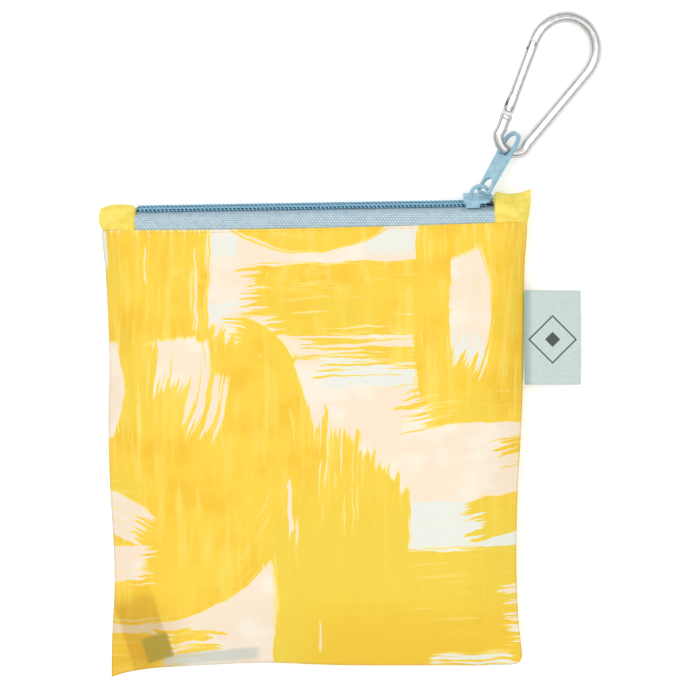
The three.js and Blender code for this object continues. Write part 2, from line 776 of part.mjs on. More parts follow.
function addTote() {
  const half = (tote.cloth + clearance) / 2;
  const middle = tote.base + tote.cloth + clearance / 2;
  const panelLine = (shift) => foldedLine(tote.bottom, tote.top, tote.runs, tote.pitch, shift);
  const wide = tote.halfWidth;
  addFolded("tote_front_panel", panelLine(half), -wide, wide, tote.cloth, middle, yellowCloth());
  addFolded("tote_back_panel", panelLine(-half), -wide, wide, tote.cloth, middle, yellowCloth());

  const handleBase = middle + (tote.runs - 1) * tote.pitch + half + tote.cloth / 2 + clearance
    + tote.handleCloth / 2;
  [-1, 1].forEach((side) => {
    const name = side < 0 ? "tote_handle_front" : "tote_handle_back";
    const centre = side * tote.handleCentre;
    const line = foldedLine(tote.handleLow, tote.handleHigh, 2, tote.handlePitch, 0);
    const edges = [centre - tote.handleWidth / 2, centre + tote.handleWidth / 2];
    addFolded(name, line, edges[0], edges[1], tote.handleCloth, handleBase, yellowCloth());
  });

}

function addCareLabel() {
  const ribbon = new THREE.BoxGeometry(...careLabel.size);
  const [aboutX, aboutY, aboutZ] = careLabel.turns;
  ribbon.rotateX(aboutX).rotateY(aboutY).rotateZ(aboutZ).translate(...careLabel.place);
  addMesh(part, "tote_care_label", ribbon, greyRibbon());
}

// ---- Assembly -----------------------------------------------------------------------------
addPouch();
addZip();
addSlider();
addCrown();
const tabFrame = pullTabFrame();
addPullTab(tabFrame);
const carabinerFrame = hookFrame(tabFrame);
addHookBody(carabinerFrame);
addGateTube(carabinerFrame);
addGatePins(carabinerFrame);
addGateSpring(carabinerFrame);
addLabel();
addTote();
addCareLabel();

export default part;
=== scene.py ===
"""Looks for the foldable tote bag packed in its zip pouch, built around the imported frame."""
import json
import math

import bmesh
import bpy
from mathutils import Matrix, Vector, noise


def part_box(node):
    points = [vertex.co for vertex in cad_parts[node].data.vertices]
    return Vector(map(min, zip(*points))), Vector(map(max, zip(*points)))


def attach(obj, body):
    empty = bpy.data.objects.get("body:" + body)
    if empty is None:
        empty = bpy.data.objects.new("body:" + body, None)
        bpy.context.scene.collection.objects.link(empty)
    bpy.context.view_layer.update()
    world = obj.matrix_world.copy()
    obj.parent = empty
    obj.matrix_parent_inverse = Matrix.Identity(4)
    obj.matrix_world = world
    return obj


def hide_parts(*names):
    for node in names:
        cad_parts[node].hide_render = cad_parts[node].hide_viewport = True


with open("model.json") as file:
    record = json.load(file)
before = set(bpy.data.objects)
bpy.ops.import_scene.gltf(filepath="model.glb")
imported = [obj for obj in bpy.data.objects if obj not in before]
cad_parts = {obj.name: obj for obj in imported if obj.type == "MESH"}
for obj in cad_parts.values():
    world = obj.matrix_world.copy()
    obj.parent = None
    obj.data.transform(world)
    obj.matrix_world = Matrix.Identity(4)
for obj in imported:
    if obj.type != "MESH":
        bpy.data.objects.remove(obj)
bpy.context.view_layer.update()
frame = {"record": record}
scene = bpy.context.scene

MM = 0.001
JOINTS = {joint["name"]: joint for joint in frame["record"]["behaviour"]["joints"]}

# ---- Places taken from the frame ----
FRONT_LOW, FRONT_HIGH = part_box("pouch_front_panel")
BACK_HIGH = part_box("pouch_back_panel")[1]
LABEL_LOW, LABEL_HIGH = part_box("side_label")
CARE_LOW, CARE_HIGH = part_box("tote_care_label")
STACK_LOW, STACK_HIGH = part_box("tote_back_panel")

SEAM_Z = (FRONT_LOW[2] + BACK_HIGH[2]) / 2
CHAIN_ALONG = -Vector(JOINTS["slider_travel"]["axis"]).normalized()
CHAIN_LEAN = math.radians(21)
CHAIN_SLOPE = math.atan2(CHAIN_ALONG.y, CHAIN_ALONG.x)
CARE_MIDDLE = [(low + high) / 2 / MM for low, high in zip(CARE_LOW, CARE_HIGH)]
CARE_TURN = math.radians(17)


# ---- Small tools ----
def mix(a, b, t):
    return a + (b - a) * t


def clamp(value, low=0.0, high=1.0):
    return max(low, min(high, value))


def ease(t):
    t = clamp(t)
    return t * t * (3 - 2 * t)


def rise(distance, width):
    return 1 - (1 - clamp(distance / width)) ** 2


def curve_through(points, t):
    """A smooth (Catmull-Rom) place along a list of points."""
    place = clamp(t) * (len(points) - 1)
    index = min(int(place), len(points) - 2)
    rest = place - index
    p0 = points[max(index - 1, 0)]
    p1, p2 = points[index], points[index + 1]
    p3 = points[min(index + 2, len(points) - 1)]
    return 0.5 * (
        2 * p1 + (p2 - p0) * rest + (2 * p0 - 5 * p1 + 4 * p2 - p3) * rest ** 2
        + (3 * p1 - p0 - 3 * p2 + p3) * rest ** 3
    )


def new_object(name, mesh, material, smooth=True):
    obj = bpy.data.objects.new(name, mesh)
    scene.collection.objects.link(obj)
    obj.data.materials.append(material)
    if smooth:
        for polygon in mesh.polygons:
            polygon.use_smooth = True
    return obj


def finish_piece(obj, body, node=None):
    """Put a piece on its body and hide the CAD node that it replaces."""
    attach(obj, body)
    if node:
        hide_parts(node)


def mesh_from(name, vertices, faces):
    mesh = bpy.data.meshes.new(name)
    mesh.from_pydata([tuple(v) for v in vertices], [], faces)
    mesh.validate()
    mesh.update()
    return mesh


def grid_mesh(name, point, columns, rows):
    """A sheet of quads over point(u, v), with u and v from 0 to 1."""
    vertices = [point(i / columns, j / rows) for j in range(rows + 1) for i in range(columns + 1)]
    stride = columns + 1
    faces = []
    for j in range(rows):
        for i in range(columns):
            a = j * stride + i
            faces.append((a, a + 1, a + 1 + stride, a + stride))
    return mesh_from(name, vertices, faces)


def evaluated_mesh(obj):
    """The mesh that an object's modifiers or its curve make of it."""
    depsgraph = bpy.context.evaluated_depsgraph_get()
    return bpy.data.meshes.new_from_object(obj.evaluated_get(depsgraph), depsgraph=depsgraph)


def apply_modifiers(obj):
    """Replace the object's mesh by what its modifiers make of it."""
    made = evaluated_mesh(obj)
    obj.modifiers.clear()
    obj.data = made
    for polygon in made.polygons:
        polygon.use_smooth = True


def thicken(obj, thickness):
    """Give a sheet its thickness, half of it on each side."""
    solid = obj.modifiers.new("cloth thickness", "SOLIDIFY")
    solid.thickness = thickness
    solid.offset = 0.0
    solid.use_even_offset = False
    apply_modifiers(obj)


def finish_sheet(obj, thickness, body, node):
    """Thicken a sheet of cloth and finish it as a piece."""
    thicken(obj, thickness)
    finish_piece(obj, body, node)


def smooth_by_angle(obj, degrees):
    obj.data.set_sharp_from_angle(angle=math.radians(degrees))


def facing_out(mesh, weld=0.0):
    """Turn a mesh's faces outward, after joining vertices closer than weld."""
    turned = bmesh.new()
    turned.from_mesh(mesh)
    if weld:
        bmesh.ops.remove_doubles(turned, verts=turned.verts, dist=weld)
    bmesh.ops.recalc_face_normals(turned, faces=turned.faces)
    turned.to_mesh(mesh)
    turned.free()
    return mesh


def ring_faces(rings, sides):
    """Faces between rings of vertices that follow each other, with a cap at each end."""
    faces = []
    for low in range(0, (rings - 1) * sides, sides):
        high = low + sides
        for side in range(sides):
            turn = (side + 1) % sides
            faces.append((low + side, low + turn, high + turn, high + side))
    faces.append(tuple(reversed(range(sides))))
    faces.append(tuple(range((rings - 1) * sides, rings * sides)))
    return faces


def tube_mesh(name, points, radius, sides=8):
    """A capped tube along a list of points, with no twist between its rings."""
    last = len(points) - 1
    radii = radius if callable(radius) else (lambda t: radius)
    vertices = []
    normal = (points[1] - points[0]).normalized().orthogonal().normalized()
    for index, here in enumerate(points):
        tangent = (points[min(index + 1, last)] - points[max(index - 1, 0)]).normalized()
        normal = (normal - tangent * normal.dot(tangent)).normalized()
        across = tangent.cross(normal)
        size = radii(index / last)
        for side in range(sides):
            angle = 2 * math.pi * side / sides
            vertices.append(here + (normal * math.cos(angle) + across * math.sin(angle)) * size)
    return facing_out(mesh_from(name, vertices, ring_faces(last + 1, sides)))


def turned_mesh(name, profile, sides, axis=(0, 1, 0), start=(0, 0, 0)):
    """A turned part; its profile lists distances along the axis with the radius at each."""
    points = [Vector(start) + Vector(axis) * place for place, _ in profile]
    last = len(profile) - 1
    return tube_mesh(name, points, lambda t: profile[round(t * last)][1], sides)


def square_mesh(name, half):
    """A level square around the origin."""
    corners = [(-half, -half, 0), (half, -half, 0), (half, half, 0), (-half, half, 0)]
    return mesh_from(name, corners, [(0, 1, 2, 3)])


def prism_mesh(name, outline, low, high):
    """A prism over a closed outline of (x, y) points."""
    count = len(outline)
    vertices = [(x, y, low) for x, y in outline] + [(x, y, high) for x, y in outline]
    faces = [tuple(reversed(range(count))), tuple(range(count, 2 * count))]
    for index in range(count):
        after = (index + 1) % count
        faces.append((index, after, after + count, index + count))
    return facing_out(mesh_from(name, vertices, faces))


def join_meshes(name, meshes):
    joined = bmesh.new()
    for mesh in meshes:
        joined.from_mesh(mesh)
    made = bpy.data.meshes.new(name)
    joined.to_mesh(made)
    joined.free()
    return made


def arc(cx, cy, radius, start, end, steps):
    """Points on an arc, its angles in radians."""
    angles = [mix(start, end, i / steps) for i in range(steps + 1)]
    return [(cx + radius * math.cos(angle), cy + radius * math.sin(angle)) for angle in angles]


# ---- Shader tools ----
def srgb(red, green, blue):
    """A colour given in 0 to 255 as a linear RGBA value."""
    def linear(value):
        value /= 255
        return value / 12.92 if value <= 0.04045 else ((value + 0.055) / 1.055) ** 2.4
    return (linear(red), linear(green), linear(blue), 1.0)


class Wire:
    """A node's output that can be used in a sum; each sign adds a math node."""

    def __init__(self, nodes, socket):
        self.nodes = nodes
        self.socket = socket

    def __add__(self, other):
        return self.nodes.math("ADD", self, other)

    def __sub__(self, other):
        return self.nodes.math("SUBTRACT", self, other)

    def __rsub__(self, other):
        return self.nodes.math("SUBTRACT", other, self)

    def __mul__(self, other):
        return self.nodes.math("MULTIPLY", self, other)

    def times_plus(self, factor, more):
        return self.nodes.math("MULTIPLY_ADD", self, factor, more)


class Nodes:
    """Short ways to add and link nodes in one tree; an input is given a value or a wire."""

    def __init__(self, tree):
        self.tree = tree

    def feed(self, socket, value):
        if isinstance(value, Wire):
            self.tree.links.new(value.socket, socket)
        else:
            socket.default_value = value

    def add(self, kind, inputs=None, **settings):
        node = self.tree.nodes.new(kind)
        for key, value in settings.items():
            setattr(node, key, value)
        for key, value in (inputs or {}).items():
            self.feed(node.inputs[key], value)
        return node

    def wire(self, output, kind, inputs=None, **settings):
        """One output of a new node."""
        return Wire(self, self.add(kind, inputs, **settings).outputs[output])

    def math(self, operation, *values):
        return self.wire(0, "ShaderNodeMath", dict(enumerate(values)), operation=operation)

    def step(self, *values):
        """A smooth step of a value between two bounds, to 0 and 1 or to two other results."""
        return self.wire(0, "ShaderNodeMapRange", dict(enumerate(values)), interpolation_type="SMOOTHSTEP")

    def mix(self, factor, first, second, blend="MIX"):
        given = {0: factor, 6: first, 7: second}
        return self.wire(2, "ShaderNodeMix", given, data_type="RGBA", blend_type=blend)

    def place(self, *scales):
        """Object coordinates in millimetres, scaled along each axis."""
        where = self.wire("Object", "ShaderNodeTexCoord")
        sizes = tuple(value / MM for value in scales or (1, 1, 1))
        return self.wire(0, "ShaderNodeMapping", {"Vector": where, "Scale": sizes})

    def noise(self, vector, scale, detail, roughness=0.55, **settings):
        given = {"Vector": vector, "Scale": scale, "Detail": detail, "Roughness": roughness}
        return self.wire("Fac", "ShaderNodeTexNoise", given, **settings)

    def grain(self, detail, x, y=None, z=None):
        """Noise over the object, its scale per millimetre given along each axis or for all three."""
        return self.noise(self.place(x, y or x, z or x), 1.0, detail)

    def split(self, vector):
        return [Wire(self, part) for part in self.add("ShaderNodeSeparateXYZ", {0: vector}).outputs]

    def bump(self, height, strength, distance, normal=None):
        given = {"Strength": strength, "Distance": distance, "Height": height}
        if normal:
            given["Normal"] = normal
        return self.wire(0, "ShaderNodeBump", given)


def make_material(name, look, *values, **settings):
    """A material whose look gives the inputs of its Principled shader by name."""
    material = bpy.data.materials.new(name)
    material.use_nodes = True
    tree = material.node_tree
    tree.nodes.clear()
    nodes = Nodes(tree)
    surface = nodes.wire(0, "ShaderNodeBsdfPrincipled", look(nodes, *values, **settings))
    nodes.add("ShaderNodeOutputMaterial", {0: surface})
    return material


# ---- The print: dry brush strokes ----
# What is given for each stroke: its middle, its direction in degrees, the radius of its bend
# (positive bends to the right of its direction), its length and width, how far its start and its
# end are ragged, how dry it is and a seed. Lengths are in millimetres.
STROKE_VALUES = ("X", "Y", "Angle", "Radius", "Length", "Width", "Start", "End", "Dry", "Seed")
STREAK_ALONG, STREAK_ACROSS = 0.034, 0.8  # streaks per millimetre
SEED_STEP = 7.31
EDGE_WOBBLE = 1.6
END_FADE = 2.6
WET = 1.2


def brush_stroke_group():
    """A node group whose output is 1 inside one dry brush stroke or the union so far, else 0."""
    group = bpy.data.node_groups.new("brush_stroke", "ShaderNodeTree")
    group.interface.new_socket("Vector", in_out="INPUT", socket_type="NodeSocketVector")
    for name in STROKE_VALUES + ("Side", "Union"):
        group.interface.new_socket(name, in_out="INPUT", socket_type="NodeSocketFloat")
    group.interface.new_socket("Union", in_out="OUTPUT", socket_type="NodeSocketFloat")
    nodes = Nodes(group)
    given = {socket.name: Wire(nodes, socket) for socket in nodes.add("NodeGroupInput").outputs}
    x, y, _ = nodes.split(given["Vector"])
    # A trace of the union so far makes each stroke wait for the one before it.
    dx = given["Union"].times_plus(0.0001, x) - given["X"]
    dy = y - given["Y"]
    cosine = nodes.math("COSINE", given["Angle"])
    sine = nodes.math("SINE", given["Angle"])
    forward = dx.times_plus(cosine, dy * sine)
    left = dy * cosine - dx * sine
    from_centre = left.times_plus(given["Side"], given["Radius"])
    square = forward.times_plus(forward, from_centre * from_centre)
    across = nodes.math("SQRT", square) - given["Radius"]
    along = nodes.math("ARCTAN2", forward, from_centre) * given["Radius"]
    shift = given["Seed"] * SEED_STEP
    streak_place = nodes.wire(0, "ShaderNodeCombineXYZ", {
        "X": along.times_plus(STREAK_ALONG, shift),
        "Y": across.times_plus(STREAK_ACROSS, shift),
    })
    streak = nodes.step(nodes.noise(streak_place, 1.0, 3.0, 0.58, noise_dimensions="2D"), 0.28, 0.72)
    half_length = given["Length"] * 0.5
    wobble = streak.times_plus(EDGE_WOBBLE, nodes.math("ABSOLUTE", across))
    edge = nodes.step(given["Width"] * 0.5 - wobble, -1.3, -0.1)
    start = nodes.step(along + half_length - streak * given["Start"], 0.0, END_FADE)
    end = nodes.step(half_length - along - streak * given["End"], 0.0, END_FADE)
    paint = nodes.step(WET - given["Dry"] - streak, -0.14, 0.4)
    nodes.add("NodeGroupOutput", {0: nodes.math("MAXIMUM", start * end * (edge * paint), given["Union"])})
    return group


BRUSH = brush_stroke_group()
STRAIGHT = 3000.0

YELLOW_STROKES = [
    (-49.6, 47.0, 90, STRAIGHT, 40, 32, 1, 3, 0.03, 1),  # upper left block
    (-2.0, 65.0, 0, -36, 50, 16, 1, 6, 0.0, 2),  # bowl under the zip
    (49.5, 42.0, 90, STRAIGHT, 64, 37, 2, 4, 0.04, 5),  # upper right block
    (44.0, 11.0, 5, 110, 46, 14, 14, 1, 0.06, 6),  # leaf-shaped stroke at the right
    (60.5, -5.0, 14, 90, 14, 9, 8, 1, 0.3, 7),  # short streaks at the right edge
    (56.0, -24.6, 13, 120, 26, 12.5, 9, 1, 0.0, 8),  # pointed stroke above the lower right
    (-21.2, -27.4, -125, 42.5, 112, 26, 1, 3, 0.03, 9),  # the big round stroke
    (-46.0, -26.0, -8, 120, 44, 50, 2, 1, 0.0, 10),  # its filled inside
    (-54.0, 7.0, 90, 110, 50, 19, 3, 3, 0.06, 11),  # left of its dry gap
    (-27.0, 5.0, 90, 80, 56, 36, 3, 5, 0.06, 12),  # middle of the round stroke
    (-8.0, -34.0, 90, STRAIGHT, 78, 12, 1, 20, 0.32, 13),  # dry left edge of the vertical strokes
    (-1.0, -31.0, 90, STRAIGHT, 84, 7.5, 1, 8, 0.16, 14),  # vertical strokes, left to right
    (5.2, -33.5, 90, STRAIGHT, 78, 5.6, 1, 6, 0.08, 15),
    (10.4, -34.5, 90, STRAIGHT, 76, 5.8, 1, 5, 0.06, 16),
    (15.4, -37.5, 90, STRAIGHT, 70, 5.2, 1, 4, 0.04, 23),
    (19.8, -39.0, 90, STRAIGHT, 67, 5.6, 1, 4, 0.04, 25),
    (23.4, -41.0, 90, STRAIGHT, 63, 4.6, 1, 3, 0.0, 27),
    (26.4, -43.0, 90, STRAIGHT, 58, 5.4, 1, 3, 0.0, 28),
    (8.0, -49.0, 90, STRAIGHT, 60, 40, 1, 14, 0.0, 17),
    (43.5, -53.5, 3, 500, 46, 37, 1, 1, 0.0, 18),  # lower right block
    (-54.0, -68.5, 4, STRAIGHT, 34, 14, 1, 10, 0.02, 19),  # lower left corner
    (-36.0, -63.5, -2, 200, 20, 5, 1, 9, 0.25, 24),
    (-37.0, -67.8, 2, 200, 16, 3, 1, 8, 0.3, 21),
]
PALE_STROKES = [
    (48.3, 38.5, -90, 42, 40, 13.5, 1, 8, 0.0, 31),  # D-shaped gap
    (46.0, 41.0, 90, STRAIGHT, 28, 9.0, 1, 1, 0.0, 59),
    (-43.5, 19.5, -97, 60, 25, 12, 1, 14, 0.2, 32),  # curved dry gaps of the round stroke
    (-36.6, 14.0, -100, 52, 34, 5.5, 1, 16, 0.2, 33),
    (-31.0, 9.0, -104, 48, 26, 4.5, 5, 16, 0.3, 34),
    (-63.7, 14.0, -90, 36, 33, 8.0, 1, 2, 0.0, 36),  # crescent at the left edge
    (-60.0, -26.0, -24, 60, 22, 12, 1, 7, 0.05, 37),  # ragged gaps at the left
    (-58.0, -40.0, 6, 60, 20, 12, 1, 7, 0.05, 38),
    (-53.6, 53.0, 90, STRAIGHT, 16, 0.9, 4, 5, 0.35, 39),  # thin streaks in the upper left block
    (-37.6, 47.5, 90, STRAIGHT, 34, 1.6, 3, 8, 0.4, 40),
    (-17.0, 29.0, 0, 300, 22, 9, 6, 4, 0.62, 35),  # dry patch right of the round stroke
    (-8.0, -22.0, 93, 260, 22, 0.9, 7, 7, 0.3, 41),  # streaks in the vertical strokes
    (-15.2, -55.0, 91, STRAIGHT, 36, 2.4, 2, 9, 0.3, 48),
    (1.5, -61.0, 90, STRAIGHT, 15, 0.9, 4, 5, 0.25, 42),
    (61.5, -56.0, 3, 300, 12, 18, 10, 1, 0.55, 43),  # dry right end of the lower block
    (49.0, -69.8, 1, STRAIGHT, 32, 3.2, 3, 6, 0.3, 44),  # white streak along the lower edge
    (-56.0, -60.2, -12, 60, 20, 1.3, 1, 8, 0.25, 47),
]
# Painted over the gaps: the wide stroke across the top and the dry streaks along its lower edge.
OVER_STROKES = [
    (9.0, 46.2, 1, 600, 70, 16, 10, 12, 0.04, 3),
    (9.0, 37.0, 1, 600, 62, 10, 12, 10, 0.16, 26),
    (15.0, 29.0, 1, 600, 52, 9, 14, 8, 0.5, 29),
    (18.0, 22.0, 1, 600, 40, 6, 12, 10, 0.72, 30),
    (38.4, 38.0, 90, STRAIGHT, 44, 6.4, 2, 2, 0.0, 49),
    (-15.5, 24.0, -52, 15, 34, 15, 8, 0, 0.02, 20),  # top of the round stroke
]
# Whiter ground under the strokes, the rest of the ground is peach.
WHITE_PATCHES = [
    (-31.5, 60.0, 90, STRAIGHT, 12, 14, 1, 3, 0.0, 51),
    (23.0, 61.0, 90, STRAIGHT, 12, 16, 1, 2, 0.0, 52),
    (-28.0, 38.5, 4, STRAIGHT, 16, 6, 2, 8, 0.1, 53),
    (45.5, -28.0, 2, STRAIGHT, 40, 15, 1, 2, 0.0, 54),
    (20.0, 20.5, 0, STRAIGHT, 42, 11, 4, 8, 0.1, 55),
    (48.0, 26.0, 90, STRAIGHT, 18, 14, 4, 8, 0.0, 56),
    (47.0, -70.0, 0, STRAIGHT, 40, 6, 2, 2, 0.0, 57),
    (-65.0, 48.0, 90, STRAIGHT, 40, 7, 2, 6, 0.0, 58),
]


def stroke_masks(nodes, vector, strokes):
    """The union of several strokes."""
    union = 0.0
    for stroke in strokes:
        given = dict(zip(STROKE_VALUES, stroke))
        given["Angle"] = math.radians(given["Angle"])
        given["Side"] = math.copysign(1.0, given["Radius"])
        given["Radius"] = abs(given["Radius"])
        given.update({"Vector": vector, "Union": union})
        union = nodes.wire("Union", "ShaderNodeGroup", given, node_tree=BRUSH)
    return union


PEACH = srgb(241, 223, 199)
WHITE = srgb(229, 231, 221)
CREAM = srgb(243, 232, 213)
THIN_YELLOW = srgb(246, 225, 128)
YELLOW = srgb(245, 205, 66)
DEEP_YELLOW = srgb(238, 193, 50)
LIGHT_YELLOW = srgb(247, 214, 92)
GREEN_YELLOW = srgb(234, 205, 68)
STROKE_WANDER = 2.4  # how far the strokes stray from their lines, in millimetres
WEAVE_PITCH = 0.35  # millimetres
WAVE_LENGTH = 0.314  # of a wave texture at scale 1


def cloth_weave(nodes, strength, normal):
    """The fine plain weave of the cloth, as a bump over a softer one."""
    given = {"Vector": nodes.place(), "Scale": WAVE_LENGTH / WEAVE_PITCH, "Distortion": 0.25}
    given.update({"Detail": 1.0, "Detail Scale": 0.6})
    warp, weft = [nodes.wire("Fac", "ShaderNodeTexWave", given, bands_direction=way) for way in ("X", "Y")]
    return nodes.bump(warp + weft, strength, 0.08 * MM, normal)


def printed_cloth(nodes, shift=(0, 0, 0), mirrored=False, see_through=False):
    """Thin polyester with the brushed print; the see-through flag adds what shows from inside and a painted
    shade at the lower left corner.
    """
    place = nodes.place(-1 if mirrored else 1, 1, 1)
    spot = nodes.wire(0, "ShaderNodeMapping", {"Vector": place, "Location": shift})
    drift = nodes.noise(spot, 0.08, 2.0)
    warp = nodes.wire("Color", "ShaderNodeTexNoise", {"Vector": spot, "Scale": 0.12, "Detail": 2.0})
    half = (STROKE_WANDER / 2, STROKE_WANDER / 2, 0)
    lean = nodes.wire(0, "ShaderNodeVectorMath", {0: spot, 1: half}, operation="SUBTRACT")
    given = {0: warp, 1: (STROKE_WANDER, STROKE_WANDER, 0), 2: lean}
    brushed = nodes.wire(0, "ShaderNodeVectorMath", given, operation="MULTIPLY_ADD")

    ground = nodes.mix(nodes.step(nodes.grain(2.0, 0.06, 0.09, 0.06), 0.48, 0.66), PEACH, CREAM)
    ground = nodes.mix(stroke_masks(nodes, brushed, WHITE_PATCHES), ground, WHITE)
    tone = nodes.mix(nodes.step(drift, 0.3, 0.6), DEEP_YELLOW, YELLOW)
    tone = nodes.mix(nodes.step(nodes.grain(2.0, 0.3, 0.035, 1), 0.45, 0.75), tone, LIGHT_YELLOW)
    x, y, _ = nodes.split(spot)
    patch = nodes.step(nodes.grain(1.0, 0.035), 0.5, 0.7, 0.0, 0.6)
    lower = nodes.step(y, -5.0, -36.0) * nodes.step(x, -24.0, -8.0)
    tone = nodes.mix(nodes.math("MAXIMUM", patch, lower * 0.85), tone, GREEN_YELLOW)
    bottom = nodes.step(y, -46.0, -62.0) * nodes.step(x, -12.0, 8.0)
    tone = nodes.mix(bottom * 0.75, tone, DEEP_YELLOW)
    paint = stroke_masks(nodes, brushed, YELLOW_STROKES)
    bare = stroke_masks(nodes, brushed, PALE_STROKES)
    cover = nodes.math("MAXIMUM", paint * (1.0 - bare), stroke_masks(nodes, brushed, OVER_STROKES))
    colour = nodes.mix(nodes.step(cover, 0.05, 0.5), ground, THIN_YELLOW)
    colour = nodes.mix(nodes.step(cover, 0.3, 0.95), colour, tone)

    if see_through:
        colour = show_inside_and_corner_shade(nodes, colour)
    threads = nodes.step(nodes.grain(2.0, 4.0, 1.2, 1.0), 0.3, 0.7, 0.0, 0.07)
    return {
        "Base Color": nodes.mix(threads, colour, srgb(205, 170, 90), "MULTIPLY"),
        "Normal": cloth_weave(nodes, 0.18, nodes.bump(nodes.grain(3.0, 0.16, 0.1, 0.16), 0.35, 1.2 * MM)),
        "Roughness": 0.62,
        "Specular IOR Level": 0.25,
        "Sheen Weight": 0.08,
    }


def show_inside_and_corner_shade(nodes, colour):
    """Darker shapes where the care label, a strap and a seam strip lie right under the thin cloth, and a
    darker lower left corner that is partly the inside showing through and partly painted shade where the
    bottom curves away.
    """
    def between(value, low, high, blur):
        return nodes.step(value, low - blur, low + blur) * nodes.step(value, high + blur, high - blur)

    x, y, _ = nodes.split(nodes.place())
    dx, dy = x - CARE_MIDDLE[0], y - CARE_MIDDLE[1]
    cosine, sine = math.cos(CARE_TURN), math.sin(CARE_TURN)
    u = dx.times_plus(cosine, dy * sine)
    v = dy.times_plus(cosine, dx * -sine)
    tag = between(u, -4.2, 4.2, 0.6) * between(v, -4.0, 4.0, 0.6)
    strap = between(u, -9.0, 3.6, 0.6) * between(v, -5.0, 17.0, 2.5)
    strip = between(dx.times_plus(-0.09, dy), -6.2, -2.6, 0.8) * between(x, -47.5, -18.0, 1.5)
    # Lower left corner: partly the inside showing through, partly painted shade where the bottom curves away.
    corner_shade_and_inside = between(x, -66.0, -44.0, 7.0) * between(y, -80.0, -52.0, 6.0)
    colour = nodes.mix(corner_shade_and_inside * 0.55, colour, srgb(226, 214, 170), "MULTIPLY")
    colour = nodes.mix(strap * 0.5, colour, srgb(214, 196, 150), "MULTIPLY")
    colour = nodes.mix(strip * 0.72, colour, srgb(190, 199, 192))
    return nodes.mix(tag * 0.88, colour, srgb(164, 146, 54))


# ---- Other materials ----
def end_tab_cloth(nodes):
    """The pouch's cloth in plain yellow, blotchy and rucked."""
    blotch = nodes.step(nodes.grain(3.0, 0.2, 0.35, 0.2), 0.3, 0.7)
    folds = nodes.bump(nodes.grain(3.0, 0.15, 0.6, 0.3), 0.4, 0.8 * MM)
    return {
        "Base Color": nodes.mix(blotch, srgb(233, 208, 84), srgb(246, 226, 112)),
        "Normal": cloth_weave(nodes, 0.2, folds),
        "Roughness": 0.65,
        "Specular IOR Level": 0.25,
    }


def zip_tape_weave(nodes):
    """Knitted tape: pale knots in staggered rows over grey-blue yarn."""
    row_pitch, column_pitch = 0.78, 0.95
    x, y, z = nodes.split(nodes.place())
    row = (y - z) * (1 / row_pitch)
    stagger = nodes.math("MODULO", nodes.math("FLOOR", row), 2.0) * 0.5
    u = nodes.math("FRACT", x.times_plus(1 / column_pitch, stagger)) - 0.5
    v = nodes.math("FRACT", row) - 0.5
    knot = nodes.step(nodes.math("SQRT", u.times_plus(u, v * v)), 0.42, 0.16)
    vary = nodes.step(nodes.grain(2.0, 0.6), 0.3, 0.7)
    yarn = nodes.mix(vary, srgb(146, 174, 190), srgb(166, 190, 202))
    return {
        "Base Color": nodes.mix(knot * 0.8, yarn, srgb(216, 228, 232)),
        "Normal": nodes.bump(knot, 0.5, 0.18 * MM),
        "Roughness": 0.75,
        "Specular IOR Level": 0.25,
    }


def two_tone(nodes, light, dark, roughness, scale=3, metallic=0.0, depth=0.2 * MM):
    """Two close tones over a fine grain, for yarn, nylon, satin and steel."""
    grain = nodes.grain(4.0, scale)
    return {
        "Base Color": nodes.mix(nodes.step(grain, 0.3, 0.7), srgb(*dark), srgb(*light)),
        "Normal": nodes.bump(grain, 0.25, depth),
        "Roughness": roughness,
        "Metallic": metallic,
    }


def blue_paint(nodes):
    """Light blue baked paint with fine orange peel, paler specks and small dark pits."""
    speckle = nodes.grain(4.0, 2.2)
    cloud = nodes.step(nodes.grain(2.0, 0.5), 0.3, 0.7)
    pits = nodes.step(nodes.grain(1.0, 1.1), 0.71, 0.76, 0.0, 0.5)
    colour = nodes.mix(cloud, srgb(134, 178, 197), srgb(152, 194, 209))
    colour = nodes.mix(nodes.step(speckle, 0.55, 0.8, 0.0, 0.35), colour, srgb(178, 208, 219))
    return {
        "Base Color": nodes.mix(pits, colour, srgb(84, 130, 156)),
        "Normal": nodes.bump(speckle, 0.3, 0.06 * MM),
        "Roughness": 0.34,
        "Coat Weight": 0.3,
        "Coat Roughness": 0.2,
    }


def bright_aluminium(nodes):
    """Tumble-polished aluminium with faint drawing lines and small handling marks."""
    lines = nodes.grain(4.0, 1.6, 0.5, 1.6)
    return {
        "Base Color": nodes.mix(nodes.step(lines, 0.3, 0.7), srgb(206, 206, 204), srgb(224, 224, 222)),
        "Normal": nodes.bump(lines, 0.12, 0.06 * MM),
        "Roughness": nodes.step(nodes.grain(2.0, 3.0), 0.4, 0.8, 0.18, 0.32),
        "Metallic": 1.0,
        "Specular Tint": (0.3, 0.3, 0.31, 1),
    }


